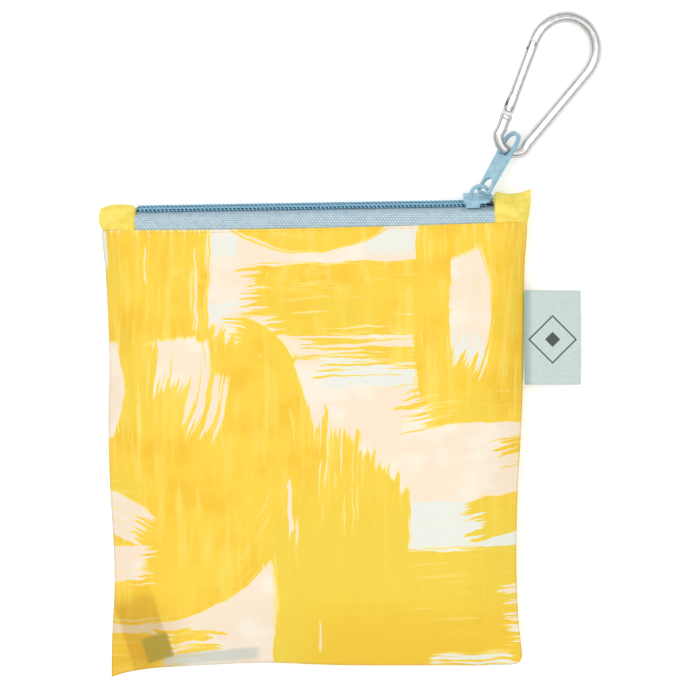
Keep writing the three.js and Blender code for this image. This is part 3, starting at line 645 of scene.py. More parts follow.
def woven_label(nodes):
    """Mint satin ribbon with a diagonal weave, a plain woven diamond as its mark and painted shade along its
    sewn left edge.
    """
    twill_pitch, thread_pitch = 0.7, 0.32
    left, right = LABEL_LOW[0] / MM, LABEL_HIGH[0] / MM
    mark_y = mix(LABEL_LOW[1], LABEL_HIGH[1], 0.48) / MM
    x, y, _ = nodes.split(nodes.place())
    rib = nodes.math("PINGPONG", nodes.math("FRACT", (x + y) * (1 / twill_pitch)), 0.5)
    cross = nodes.math("PINGPONG", nodes.math("FRACT", y * (1 / thread_pitch)), 0.5)
    weave = cross.times_plus(0.6, rib)
    tint = nodes.grain(3.0, 2.5, 2.5, 1.0).times_plus(0.8, weave * 0.9)
    colour = nodes.mix(nodes.step(tint, 0.35, 1.1), srgb(164, 184, 181), srgb(206, 218, 215))
    # Painted shade: the ribbon is darker towards its sewn left edge, where it turns into the seam.
    seam = nodes.step(x, left + 3.0, left + 0.2)
    colour = nodes.mix(seam * 0.75, colour, srgb(128, 158, 152))
    reach = nodes.math("ABSOLUTE", x - mix(left, right, 0.5)) + nodes.math("ABSOLUTE", y - mark_y)
    ring = nodes.step(reach, 6.9, 7.1) * nodes.step(reach, 7.75, 7.55)
    mark = nodes.math("MAXIMUM", ring, nodes.step(reach, 2.5, 2.3))
    return {
        "Base Color": nodes.mix(mark * 0.92, colour, srgb(32, 38, 38)),
        "Normal": nodes.bump(weave, 0.35, 0.12 * MM),
        "Roughness": 0.6,
        "Sheen Weight": 0.1,
    }


def pale_floor(nodes):
    cloud = nodes.grain(2.0, 0.01)
    return {
        "Base Color": nodes.mix(cloud, (0.93, 0.93, 0.93, 1), (0.96, 0.96, 0.96, 1)),
        "Roughness": 0.9,
        "Specular IOR Level": 0.1,
        "Emission Color": (1, 1, 1, 1),
        "Emission Strength": 0.2,
    }


PRINT_FRONT = make_material("printed_cloth_front", printed_cloth, see_through=True)
PRINT_BACK = make_material("printed_cloth_back", printed_cloth, shift=(12.0, -8.0, 0), mirrored=True)
END_TAB = make_material("end_tab_cloth", end_tab_cloth)
ZIP_TAPE = make_material("zip_tape_weave", zip_tape_weave)
BLUE_PAINT = make_material("blue_paint", blue_paint)
ALUMINIUM = make_material("bright_aluminium", bright_aluminium)
LABEL = make_material("woven_label", woven_label)
COIL_NYLON = make_material("coil_nylon", two_tone, (146, 200, 222), (104, 164, 196), 0.35, 1.5)
ZIP_THREAD = make_material("zip_thread", two_tone, (158, 204, 222), (118, 172, 200), 0.7)
YELLOW_THREAD = make_material("yellow_thread", two_tone, (246, 206, 84), (226, 180, 50), 0.7)
# The core cord's near-black navy is painted shade: it stands in for the shade between the coil's turns.
CORE_CORD_SHADE = make_material("core_cord_shade", two_tone, (22, 52, 78), (10, 26, 44), 0.8)
STEEL = make_material("pin_steel", two_tone, (205, 206, 206), (160, 162, 164), 0.28, 2, 1.0, 0.05 * MM)
CARE = make_material("care_label_satin", two_tone, (120, 116, 92), (92, 90, 74), 0.7)


# ---- Camera, floor and light ----
def add_camera():
    """Straight above the pouch with a long lens; the view is 219 mm wide."""
    distance = 1.6
    view_width = 0.2186
    top_of_pouch = 0.006
    camera = bpy.data.cameras.new("camera")
    camera.sensor_width = 36
    camera.lens = camera.sensor_width * distance / view_width
    camera.clip_end = 20
    obj = bpy.data.objects.new("camera", camera)
    obj.location = (0.0106, 0.0266, distance + top_of_pouch)
    scene.collection.objects.link(obj)
    scene.camera = obj


def add_floor():
    material = make_material("pale_floor", pale_floor)
    floor = new_object("floor", square_mesh("floor", 3.0), material, smooth=False)
    floor.location.z = -0.2 * MM


def add_area_light(name, location, size, power):
    """A square light that points at the origin."""
    light = bpy.data.lights.new(name, "AREA")
    light.shape = "SQUARE"
    light.size = size
    light.energy = power
    obj = bpy.data.objects.new(name, light)
    scene.collection.objects.link(obj)
    obj.location = location
    obj.rotation_euler = (-Vector(location)).to_track_quat("-Z", "Y").to_euler()


def add_lights():
    """A pale sky, brightest overhead, with a key light and a weaker fill."""
    horizon, sky, overhead = (0.3, 0.3, 0.31, 1), (0.9, 0.9, 0.9, 1), (1.6, 1.6, 1.6, 1)
    world = bpy.data.worlds.new("studio")
    scene.world = world
    world.use_nodes = True
    nodes = Nodes(world.node_tree)
    up = nodes.split(nodes.wire("Generated", "ShaderNodeTexCoord"))[2]
    colour = nodes.mix(nodes.step(up, 0.0, 0.7), horizon, sky)
    background = world.node_tree.nodes["Background"]
    nodes.feed(background.inputs["Color"], nodes.mix(nodes.step(up, 0.8, 0.97), colour, overhead))
    nodes.feed(background.inputs["Strength"], 0.95)
    add_area_light("key_light", (-0.55, 0.5, 1.3), 1.0, 4.6)
    add_area_light("fill_light", (0.7, -0.4, 1.2), 1.2, 2.4)


add_camera()
add_floor()
add_lights()
scene.view_settings.view_transform = "Standard"
scene.view_settings.look = "None"


# ---- Pouch ----
TOP_LEFT = (FRONT_LOW[0], FRONT_HIGH[1] - 2.0 * MM)
TOP_RIGHT = (FRONT_HIGH[0], FRONT_HIGH[1])
CLOTH = 0.16 * MM
TOP_Z = 11.25 * MM
CROWN_Z = FRONT_HIGH[2] - 0.1 * MM
COLUMNS, ROWS = ((112, 124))
STRIDE = COLUMNS + 1

# X of the left and right seams, from the bottom corner to the zip at even steps, in millimetres.
LEFT_SEAM = [-63.9, -63.6, -62.9, -63.2, -64.1, -64.7, -64.8, -64.5, -64.9, -65.6, -66.9]
RIGHT_SEAM = [64.6, 63.2, 62.6, 62.6, 63.0, 63.8, 64.4, 64.7, 64.9, 65.1, 66.0]
BOTTOM_Y = -71.9
EAR_DROP, EAR_WIDTH = 3.7, 9  # the pointed lower left corner
TUCK_RISE, TUCK_PLACE, TUCK_WIDTH = 0.9, 0.37, 0.13
CORNER_RADIUS = 3.2 * MM  # of the lower right corner
POUCH_WIDTH = 129


def pouch_top(x):
    """Y of the pouch's zip edge at a given X, both in metres; it sags a little along the zip."""
    along = (x - TOP_LEFT[0]) / (TOP_RIGHT[0] - TOP_LEFT[0])
    sag = mix(1.1, 0.3, along) + 0.6 * math.sin(math.pi * clamp(along))
    return mix(TOP_LEFT[1], TOP_RIGHT[1], along) - sag * MM


def pouch_plan(u, v):
    """Place in the pouch's outline, with the distances to its side and bottom seams."""
    left = curve_through(LEFT_SEAM, v) * MM
    right = curve_through(RIGHT_SEAM, v) * MM
    ear = EAR_DROP * math.exp(-u * POUCH_WIDTH / EAR_WIDTH)
    tuck = TUCK_RISE * math.exp(-((u - TUCK_PLACE) / TUCK_WIDTH) ** 2)
    bottom = (BOTTOM_Y - ear + tuck + 0.3 * ease((u - 0.9) * 10)) * MM
    x = mix(left, right, u)
    y = mix(bottom, pouch_top(x), v)
    inside_x, inside_y = CORNER_RADIUS - (right - x), CORNER_RADIUS - (y - bottom)
    if inside_x > 0 and inside_y > 0:
        reach = max(inside_x, inside_y) / math.hypot(inside_x, inside_y)
        x += inside_x * (reach - 1)
        y -= inside_y * (reach - 1)
    return x, y, min(x - left, right - x), y - bottom


def front_height(u, v):
    x, y, side, low = pouch_plan(u, v)
    width = mix(20, 8.5, clamp(v) ** 2) * MM
    lift = rise(side, width) * rise(low, 20 * MM)
    crown = mix(CROWN_Z, TOP_Z, clamp(v) ** 3)
    return x, y, SEAM_Z + CLOTH * 0.6 + (crown - SEAM_Z) * lift


def back_height(u, v):
    x, y, side, low = pouch_plan(u, v)
    lift = rise(side, 10 * MM) * rise(low, 10 * MM)
    return x, y, mix(SEAM_Z - CLOTH * 0.6, CLOTH, lift)


def near_seams(t):
    """Crowd a panel's rows and columns towards its edges."""
    return t - 0.06 * math.sin(2 * math.pi * t)


DRAPE = {
    "quality": 6, "mass": 0.12, "tension_stiffness": 18, "compression_stiffness": 18,
    "shear_stiffness": 6, "bending_stiffness": 0.12, "tension_damping": 8, "compression_damping": 8,
    "shear_damping": 6, "air_damping": 3, "vertex_group_mass": "held",
}
LARGEST_MOVE = 1.1 * MM
STILL_NEAR_EDGES = 16 * MM


def cloth_panel(name, height, material, gravity, grow, frames):
    """Drape one panel by cloth simulation, with its seams and its zip edge held."""
    mesh = grid_mesh(name, lambda u, v: height(near_seams(u), near_seams(v)), COLUMNS, ROWS)
    obj = new_object(name, mesh, material)
    rim = [
        j * STRIDE + i
        for j in range(ROWS + 1)
        for i in range(COLUMNS + 1)
        if i in (0, COLUMNS) or j in (0, ROWS)
    ]
    obj.vertex_groups.new(name="held").add(rim, 1.0, "REPLACE")
    cloth = obj.modifiers.new("drape", "CLOTH")
    for key, value in DRAPE.items():
        setattr(cloth.settings, key, value)
    cloth.settings.shrink_min = -grow
    cloth.settings.shrink_max = -grow
    cloth.settings.effector_weights.gravity = gravity
    cloth.collision_settings.use_collision = True
    cloth.collision_settings.distance_min = 0.0004
    cloth.collision_settings.collision_quality = 3
    cloth.collision_settings.use_self_collision = False
    cloth.point_cache.frame_start = 1
    cloth.point_cache.frame_end = frames
    before = [vertex.co.copy() for vertex in mesh.vertices]
    for number in range(1, frames + 1):
        scene.frame_set(number)
    apply_modifiers(obj)
    for index, (vertex, start) in enumerate(zip(obj.data.vertices, before)):
        u, v = near_seams(index % STRIDE / COLUMNS), near_seams(index // STRIDE / ROWS)
        _, y, side, low = pouch_plan(u, v)
        limit = LARGEST_MOVE
        for distance in (side, low, TOP_LEFT[1] - y):
            limit *= rise(distance, STILL_NEAR_EDGES)
        move = vertex.co - start
        vertex.co = start + move * (limit / (move.length + limit + 1e-9))
    scene.frame_set(1)
    return obj


def bundle_mesh():
    """The folded bag as the cloth feels it: a soft-edged slab with a strap lying across it."""
    # The drape follows even the rounding of these numbers, so the top's height stays in a Vector.
    low = STACK_LOW
    high = Vector((STACK_HIGH[0], STACK_HIGH[1], 10.9 * MM))
    edge_z = 8.4 * MM
    strap_turn = math.radians(68)
    strap_half, strap_side = 0.012, 0.002

    def point(u, v):
        x = mix(low.x, high.x, u)
        y = mix(low.y, high.y, v)
        edge = min(x - low.x, high.x - x, y - low.y, high.y - y)
        z = mix(edge_z, high.z, rise(edge, 7 * MM))
        strap = math.cos(strap_turn) * (x + 0.043) + math.sin(strap_turn) * (y + 0.03)
        z += 0.45 * MM * ease((strap + strap_half) / strap_side) * ease((strap_half - strap) / strap_side)
        z += 0.35 * MM * noise.noise(Vector((x, y, 0)) * 38)
        return x, y, z

    return grid_mesh("bundle_collider", point, 60, 60)


def add_collider(mesh):
    obj = new_object(mesh.name, mesh, PRINT_BACK)
    obj.modifiers.new("collision", "COLLISION")
    obj.collision.thickness_outer = 0.0003
    return obj


def hem_top(obj, depth, drop):
    """Turn the panel's zip edge under: a short lip down, then a hem running back below the panel."""
    made = bmesh.new()
    made.from_mesh(obj.data)
    made.verts.ensure_lookup_table()
    row = [made.verts[ROWS * STRIDE + i] for i in range(STRIDE)]
    inner = [made.verts[(ROWS - 4) * STRIDE + i] for i in range(STRIDE)]
    slope = [(a.co - b.co).normalized() for a, b in zip(row, inner)]
    edge = [vertex.co.copy() for vertex in row]
    for thirds, back in ((1, 0), (2, 0), (3, 0), (3, depth)):
        turn = math.pi * thirds / 3
        out = drop / 2 * math.sin(turn) - back
        down = Vector((0, 0, drop / 2 * (math.cos(turn) - 1)))
        fresh = [made.verts.new(place + along * out + down) for place, along in zip(edge, slope)]
        for index in range(COLUMNS):
            made.faces.new((row[index], row[index + 1], fresh[index + 1], fresh[index]))
        row = fresh
    made.to_mesh(obj.data)
    made.free()
    obj.data.update()


def add_pouch():
    colliders = [
        add_collider(bundle_mesh()),
        add_collider(square_mesh("table_collider", 0.12)),
    ]
    front = cloth_panel("pouch_front", front_height, PRINT_FRONT, 0.6, 0.012, 22)
    back = cloth_panel("pouch_back", back_height, PRINT_BACK, 0.5, 0.006, 14)
    for collider in colliders:
        bpy.data.objects.remove(collider)
    hem_top(front, 5 * MM, 0.5 * MM)
    for obj, node in ((front, "pouch_front_panel"), (back, "pouch_back_panel")):
        for vertex in obj.data.vertices:
            vertex.co.z = max(vertex.co.z, CLOTH * 0.6)
        thicken(obj, CLOTH)
        finish_piece(obj, "pouch", node)


add_pouch()


# ---- Zip ----
# The chain's frame: x along the zip, n out of its face, t from the back tape to the front one.
CHAIN_MIDDLE = Vector((0, 71.5 * MM, 6.4 * MM))
CHAIN_TURN = Matrix.Rotation(CHAIN_SLOPE, 3, "Z") @ Matrix.Rotation(CHAIN_LEAN, 3, "X")
CHAIN_LEFT = -55.9
CHAIN_RIGHT = 55.2
PITCH = 1.25
COIL_TURNS = int((CHAIN_RIGHT - CHAIN_LEFT) / PITCH) - 1


def on_chain(x, n, t):
    """A point of the chain's frame, in millimetres, as a place in the frame."""
    return CHAIN_MIDDLE + CHAIN_TURN @ Vector((x, n, t)) * MM


def add_coil(side, node):
    """A nylon coil: long turns across the tape, each with a fatter head at the middle."""
    inner, outer = -0.45, 1.95
    wire, head_swell, height = 0.24, 0.07, 0.3
    middle, half = (inner + outer) / 2, (outer - inner) / 2
    steps = 14
    start = CHAIN_LEFT + 0.6 + (0 if side > 0 else PITCH / 2)
    points = []
    for index in range(COIL_TURNS * steps + 1):
        angle = 2 * math.pi * index / steps
        head = math.cos(angle)
        along = start + PITCH * (index / steps) + 0.16 * math.sin(2 * angle)
        lift = height * math.sin(angle) * (1 + 0.25 * head)
        points.append(on_chain(along, lift, side * (middle - half * head)))

    def radius(t):
        head = math.cos(2 * math.pi * t * COIL_TURNS)
        return (wire + head_swell * max(head, 0) ** 4) * MM

    name = "coil_front" if side > 0 else "coil_back"
    coil = new_object(name, tube_mesh("coil", points, radius, 6), COIL_NYLON)
    finish_piece(coil, "pouch", node)

    # A real core cord runs inside the coil, but its dark navy colour is painted shade, standing in for the
    # shade between the coil's turns.
    core = [on_chain(mix(CHAIN_LEFT, CHAIN_RIGHT, k / 60), 0, side * 1.2) for k in range(61)]
    cord = new_object("coil_core_shade", tube_mesh("coil_core_shade", core, 0.27 * MM, 10), CORE_CORD_SHADE)
    finish_piece(cord, "pouch")

    for place in (0.85, 1.6):
        stitches = []
        for k in range(COIL_TURNS * 4):
            lift = 0.6 if k % 4 < 2 else 0.46
            stitches.append(on_chain(CHAIN_LEFT + 0.4 + k * PITCH / 4, lift, side * place))
        thread = new_object("zip_stitches", tube_mesh("zip_stitches", stitches, 0.13 * MM, 6), ZIP_THREAD)
        finish_piece(thread, "pouch")


def tape_line(x, side):
    seam = CHAIN_MIDDLE.y / MM + x * math.tan(CHAIN_SLOPE)
    if side > 0:
        return [
            Vector((x, seam - 9.6, 10.2)) * MM,
            Vector((x, seam - 7.0, 10.5)) * MM,
            Vector((x, seam - 4.4, 10.7)) * MM,
            on_chain(x, -1.25, 4.75),
            on_chain(x, -0.95, 3.6),
            on_chain(x, -0.72, 2.0),
            on_chain(x, -0.72, 0.4),
        ]
    return [
        on_chain(x, -0.72, -0.4),
        on_chain(x, -0.72, -2.0),
        on_chain(x, -1.25, -3.6),
        on_chain(x, -1.7, -5.0),
        Vector((x, seam - 3.4, 0.95)) * MM,
        Vector((x, seam - 7.0, 0.62)) * MM,
        Vector((x, seam - 10.4, 0.62)) * MM,
    ]


def add_tape(side, node):
    left, right = CHAIN_LEFT - 1.4, CHAIN_RIGHT + 1.4

    def point(u, v):
        x = mix(left, right, u)
        ripple = noise.noise(Vector((x * 0.09, v * 1.5, 3.7 * side)))
        return curve_through(tape_line(x, side), v) + Vector((0, 0, 0.12 * MM * ripple))

    tape = new_object("zip_tape", grid_mesh("zip_tape", point, 220, 30), ZIP_TAPE)
    finish_sheet(tape, 0.3 * MM, "pouch", node)


def add_end_tab(name, node, inner, outer, tops, bulge):
    """A strip of cloth folded over the end of the zip and sewn into the side seam."""
    def point(u, v):
        squeeze = 1 - 0.965 * u ** 2
        x = mix(inner, outer, u)
        base = pouch_top(x * MM) / MM + 0.3
        middle = mix(6.4, SEAM_Z / MM, u)
        up, down = 4.95 * squeeze, 5.6 * squeeze
        top = curve_through(tops, u)
        heights = [base - 1.0 * (1 - u), base, mix(base, top, 0.5), mix(base, top, 0.86), top]
        stands = [0.97, 1.0, 0.93, 0.62, 0.0]
        line = [Vector((x, y, middle + up * z)) for y, z in zip(heights, stands)]
        line += [Vector((x, y, middle - down * z)) for y, z in zip(heights[-2::-1], stands[-2::-1])]
        place = curve_through(line, v)
        share = clamp((place.y - base) / (top - base))
        place.x += u ** 3 * (bulge[0] * (1 - share) + bulge[1] * math.sin(math.pi * share) ** 0.7)
        lip = ease(1 - u / 0.07)
        place.y -= 0.9 * lip * share
        place.z = mix(place.z, middle, 0.13 * lip)
        ruck = noise.noise(Vector((x * 0.22, place.y * 0.16, place.z * 0.3)))
        place += Vector((0, 0.1, 0.32)) * ruck * squeeze
        return place * MM

    tab = new_object(name, grid_mesh(name, point, 60, 90), END_TAB)
    finish_sheet(tab, 0.3 * MM, "pouch", node)


def add_seam_stitches():
    """A row of thread dashes along the pouch's zip edge."""
    dash, gap = 2.1, 0.7
    x, end = -55.5, 54.5
    meshes = []
    while x < end:
        points = []
        for k in range(6):
            along = x + dash * k / 5
            height = TOP_Z / MM + 0.06 + 0.12 * math.sin(math.pi * k / 5)
            points.append(Vector((along, pouch_top(along * MM) / MM - 0.55, height)) * MM)
        meshes.append(tube_mesh("dash", points, 0.08 * MM, 6))
        x += dash + gap
    thread = new_object("edge_stitches", join_meshes("edge_stitches", meshes), YELLOW_THREAD)
    finish_piece(thread, "pouch")


add_coil(1, "zip_coil_front")
add_coil(-1, "zip_coil_back")
add_tape(1, "zip_tape_front")
add_tape(-1, "zip_tape_back")
add_end_tab("end_tab_left", "zip_end_tab_left", -56.3, -66.8, (71.5, 71.8, 71.9, 71.7, 71.0), (0.6, -1.3))
add_end_tab("end_tab_right", "zip_end_tab_right", 55.6, 67.0, (75.9, 75.5, 75.3, 75.8, 76.7), (-1.0, 0.35))
add_seam_stitches()


# ---- Slider ----
# Millimetres in the slider's frame: x along the chain, y out of its face.
SLIDER_MATRIX = Matrix.Translation(on_chain(50.6, 0, 0)) @ CHAIN_TURN.to_4x4() @ Matrix.Scale(MM, 4)
PLATE_HALF_LENGTH, PLATE_HALF_WIDTH = 4.7, 3.95
CROWN_X, CROWN_RADIUS = 0.7, 2.88


def slider_plate(low, high):
    """A plate with round corners, a rounded front and a notch where the chain's halves part."""
    half, width = PLATE_HALF_LENGTH, PLATE_HALF_WIDTH
    front, back = 2.7, 0.9
    outline = [(-half + back, -width), (half - 3.2, -width)]
    outline += arc(half - 3.2, -width + front, front, -math.pi / 2, -0.2, 8)
    outline += [(half - 0.1, -0.8), (half - 0.9, 0.0), (half - 0.1, 0.8)]
    outline += arc(half - 3.2, width - front, front, 0.2, math.pi / 2, 8)
    outline += [(-half + back, width)]
    outline += arc(-half + back, width - back, back, math.pi / 2, math.pi, 4)
    outline += arc(-half + back, -width + back, back, math.pi, 1.5 * math.pi, 4)
    mesh = prism_mesh("plate", outline, low, high)
    mesh.transform(Matrix(((1, 0, 0, 0), (0, 0, 1, 0), (0, -1, 0, 0), (0, 0, 0, 1))))
    return mesh


def box_mesh(low, high):
    outline = [(low[0], low[1]), (high[0], low[1]), (high[0], high[1]), (low[0], high[1])]
    return prism_mesh("block", outline, low[2], high[2])


def add_slider():
    """Two plates, flanges, a neck and the crown's two feet, fused and softened as a casting."""
    meshes = [
        slider_plate(1.2, 2.3),
        slider_plate(-2.9, -1.9),
        box_mesh((-3.9, -0.2, 2.8), (0.5, 1.5, 3.95)),
        box_mesh((-3.9, -0.2, -3.95), (0.5, 1.5, -2.8)),
        box_mesh((1.7, -2.4, -0.25), (3.9, 1.6, 0.25)),
        box_mesh((-4.4, 2.2, -1.1), (-1.9, 2.75, 1.1)),
        box_mesh((2.0, 2.2, -1.1), (4.4, 2.7, 1.1)),
    ]
    body = new_object("slider", join_meshes("slider", meshes), BLUE_PAINT)
    fuse = body.modifiers.new("fuse", "REMESH")
    fuse.mode = "VOXEL"
    fuse.voxel_size = 0.13
    soften = body.modifiers.new("soften", "SMOOTH")
    soften.factor = 0.5
    soften.iterations = 12
    apply_modifiers(body)
    body.data.transform(SLIDER_MATRIX)
    finish_piece(body, "slider", "slider_body")


def swept_bar(name, line, half_width, half_height, sides):
    """A bar of rounded-rectangle section along a line in its x-y plane; half_width is along z."""
    vertices = []
    for index, (x, y) in enumerate(line):
        bx, by = line[max(index - 1, 0)]
        ax, ay = line[min(index + 1, len(line) - 1)]
        length = math.hypot(ax - bx, ay - by)
        nx, ny = -(ay - by) / length, (ax - bx) / length
        for side in range(sides):
            angle = 2 * math.pi * side / sides
            c, d = math.cos(angle), math.sin(angle)
            out = half_height * math.copysign(abs(c) ** 0.6, c)
            wide = half_width * math.copysign(abs(d) ** 0.6, d)
            vertices.append((x + nx * out, y + ny * out, wide))
    return mesh_from(name, vertices, ring_faces(len(line), sides))


def add_crown():
    foot, bend = 1.9, 2.4
    line = [(CROWN_X + CROWN_RADIUS, foot), (CROWN_X + CROWN_RADIUS, bend)]
    line += arc(CROWN_X, 2.9, CROWN_RADIUS, 0, math.pi, 28)
    line += [(CROWN_X - CROWN_RADIUS, bend), (CROWN_X - CROWN_RADIUS, foot)]
    crown = new_object("crown", swept_bar("crown", line, 0.72, 0.58, 16), BLUE_PAINT)
    crown.data.transform(SLIDER_MATRIX)
    finish_piece(crown, "slider", "slider_crown")


add_slider()
add_crown()


# ---- Puller ----
CROWN_CENTRE = Vector(JOINTS["puller_swing"]["pos_m"])
SMALL_END = Vector(JOINTS["hook_swing"]["pos_m"])


def basis(origin, *directions):
    """Millimetres along three directions from an origin, to the shared frame."""
    return Matrix.Translation(origin) @ Matrix(directions).transposed().to_4x4() @ Matrix.Scale(MM, 4)


def puller_matrix():
    angle, twist = math.radians(61), math.radians(52)
    hole_distance, hole_height = 16.9 * MM, 6.35 * MM
    right = Vector((math.sin(angle), -math.cos(angle), 0))
    across = right * math.cos(twist) + Vector((0, 0, math.sin(twist)))
    origin = CROWN_CENTRE + across * 0.7 * MM
    dip = math.asin((origin.z - hole_height) / hole_distance)
    along = Vector((math.cos(angle) * math.cos(dip), math.sin(angle) * math.cos(dip), -math.sin(dip)))
    width = (across - along * across.dot(along)).normalized()
    return basis(origin, width, along, width.cross(along))


def slot_outline(top, foot, top_half, foot_half, foot_radius, steps=14):
    """A round top and a foot with two round corners, in millimetres along the puller."""
    points = arc(0, top - top_half, top_half, 0, math.pi, steps)
    for side, start in ((-1, math.pi), (1, 1.5 * math.pi)):
        centre = side * (foot_half - foot_radius)
        points += arc(centre, foot + foot_radius, foot_radius, start, start + math.pi / 2, steps // 2)
    return points


def add_puller():
    """A flat plate with a hole at each end, cut from one outline and its edges rounded."""
    edge = 0.18
    outer = slot_outline(22.8, 0.5, 3.5, 2.9, 1.4, 20)
    holes = [slot_outline(6.1, 1.4, 2.1, 2.1, 0.6), slot_outline(21.6, 14.2, 2.4, 2.4, 2.3)]
    curve = bpy.data.curves.new("puller", "CURVE")
    curve.dimensions = "2D"
    curve.fill_mode = "BOTH"
    curve.extrude = 0.42
    curve.bevel_depth = edge
    curve.bevel_resolution = 3
    for inset, outline in [(edge, outer)] + [(-edge, hole) for hole in holes]:
        centre_y = (min(y for _, y in outline) + max(y for _, y in outline)) / 2
        half_x = max(x for x, _ in outline)
        half_y = max(y for _, y in outline) - centre_y
        spline = curve.splines.new("POLY")
        spline.points.add(len(outline) - 1)
        for point, (x, y) in zip(spline.points, outline):
            point.co = (x * (1 - inset / half_x), centre_y + (y - centre_y) * (1 - inset / half_y), 0, 1)
        spline.use_cyclic_u = True
    drawn = bpy.data.objects.new("puller_curve", curve)
    scene.collection.objects.link(drawn)
    mesh = evaluated_mesh(drawn)
    bpy.data.objects.remove(drawn)
    mesh.materials.clear()
    mesh.transform(puller_matrix())
    puller = new_object("puller", mesh, BLUE_PAINT)
    facing_out(mesh, weld=0.01 * MM)
    smooth_by_angle(puller, 50)
    finish_piece(puller, "puller", "pull_tab")


add_puller()


# ---- Snap hook ----
# The hook's frame, in millimetres: the middle of its small end, with y towards its big end.
SMALL_RADIUS, BIG_RADIUS, CENTRES, ROD = 5.3, 10.8, 29.8, 1.7
SLANT = math.asin((BIG_RADIUS - SMALL_RADIUS) / CENTRES)
PIVOT_ABOVE = 6.8
LATCH_BELOW = 1.15


def on_ring(radius, angle, centre_y=0):
    return Vector((radius * math.cos(angle), centre_y + radius * math.sin(angle), 0))


def hook_matrix():
    angle, tilt = math.radians(59.8), math.radians(25)
    along = Vector((math.cos(angle), math.sin(angle), 0))
    right = Vector((math.sin(angle), -math.cos(angle), 0))
    back = right * math.cos(tilt) - Vector((0, 0, math.sin(tilt)))
    return basis(SMALL_END, back, along, back.cross(along))


GATE_FOOT = on_ring(SMALL_RADIUS, math.pi + SLANT)
GATE_LENGTH = (on_ring(BIG_RADIUS, math.pi + SLANT, CENTRES) - GATE_FOOT).length - PIVOT_ABOVE
GATE_PLACE = GATE_FOOT + Vector((-math.sin(SLANT), math.cos(SLANT), 0)) * PIVOT_ABOVE
IN_GATE = Matrix.Translation(GATE_PLACE) @ Matrix.Rotation(SLANT, 4, "Z")

# Places along the gate's line where the rod tapers and its collar swells, with the radius there.
HINGE = (
    (1.3, 0.25), (1.2, 0.6), (0.9, 1.0), (0.4, 1.3), (-0.3, 1.6), (-1.2, ROD), (-2.25, ROD),
    (-2.4, 1.86), (-2.6, 1.95), (-3.3, 1.95), (-3.5, 1.86), (-3.65, ROD), (-4.6, ROD), (-5.8, ROD),
)


def hook_line():
    """Centre line of the bent rod, from the gate's hinge round the small end and back to the nose."""
    points = [IN_GATE @ Vector((0, y, 0)) for y, _ in HINGE]
    for k in range(33):
        bulge = 0.75 * ease(k / 5) * ease((32 - k) / 5)
        points.append(on_ring(SMALL_RADIUS + bulge, mix(math.pi + SLANT, 2 * math.pi - SLANT, k / 32)))
    low, high = points[-1], on_ring(BIG_RADIUS, -SLANT, CENTRES)
    points += [low.lerp(high, k / 12) for k in range(1, 12)]
    points += [on_ring(BIG_RADIUS, mix(-SLANT, math.pi + SLANT, k / 40), CENTRES) for k in range(41)]
    points += [IN_GATE @ Vector((0, GATE_LENGTH - y, 0)) for y in (0.6, 1.2, 1.8, 2.4, 2.6)]
    return points


def rod_mesh(start, end, radius):
    steps = 5
    points = [Vector(start).lerp(Vector(end), k / steps) for k in range(steps + 1)]
    return tube_mesh("rod", points, radius, 20)


def cut_by(obj, meshes):
    """Take solids away from an object, exactly."""
    for mesh in meshes:
        tool = bpy.data.objects.new("tool", mesh)
        scene.collection.objects.link(tool)
        modifier = obj.modifiers.new("cut", "BOOLEAN")
        modifier.operation = "DIFFERENCE"
        modifier.solver = "EXACT"
        modifier.object = tool
        apply_modifiers(obj)
        bpy.data.objects.remove(tool)


def add_hook():
    line = hook_line()

    def radius(t):
        index = round(t * (len(line) - 1))
        return HINGE[index][1] if index < len(HINGE) else ROD

    body = new_object("hook", tube_mesh("hook", line, radius, 32), ALUMINIUM)
    tongue, nose = 0.55, GATE_LENGTH
    cuts = []
    for low, high in ((tongue, 4), (-4, -tongue)):
        cuts.append(box_mesh((-4, -2.1, low), (4, 2.5, high)))
        cuts.append(box_mesh((-4, nose - 4, low), (4, nose, high)))
    cuts.append(rod_mesh((0, 0, -4), (0, 0, 4), 0.8))
    cuts.append(box_mesh((-0.85, nose - 2.0, -4), (4, nose - 0.3, 4)))
    for cut in cuts:
        cut.transform(IN_GATE)
    cut_by(body, cuts)
    body.data.transform(hook_matrix())
    smooth_by_angle(body, 35)
    finish_piece(body, "hook", "carabiner_body")


def finish_gate_piece(obj, node):
    """Move a piece from the gate's own millimetres into place."""
    obj.data.transform(hook_matrix() @ IN_GATE)
    smooth_by_angle(obj, 35)
    finish_piece(obj, "gate", node)


def add_gate():
    end = GATE_LENGTH
    profile = (
        (-1.25, 1.45), (-1.05, 1.62), (-0.6, 1.7), (4.2, 1.7), (4.45, 1.66), (4.55, 1.52), (4.65, 1.52),
        (5.0, 1.58), (end - 6.0, 1.6), (end - 0.6, 1.68), (end - 0.35, 1.62), (end - 0.3, 1.5),
    )
    gate = new_object("gate", turned_mesh("gate", profile, 32), ALUMINIUM)
    slot_half, latch = 0.85, end - LATCH_BELOW
    cut_by(gate, [
        box_mesh((-4, -3, -slot_half), (4, 3.0, slot_half)),
        box_mesh((-4, end - 3.5, -slot_half), (4, end + 1, slot_half)),
        rod_mesh((0, 2.6, 0), (0, 12.4, 0), 1.0),
        rod_mesh((0, 0, -4), (0, 0, 4), 0.62),
        rod_mesh((0, latch, -4), (0, latch, 4), 0.55),
    ])
    finish_gate_piece(gate, "carabiner_gate")


def add_pin(name, node, y, reach, radius):
    """A pin across the gate, its ends slightly domed."""
    narrow, edge = radius * 0.7, reach - 0.12
    profile = ((-reach, narrow), (-edge, radius), (edge, radius), (reach, narrow))
    mesh = turned_mesh(name, profile, 24, axis=(0, 0, 1), start=(0, y, 0))
    finish_gate_piece(new_object(name, mesh, STEEL), node)


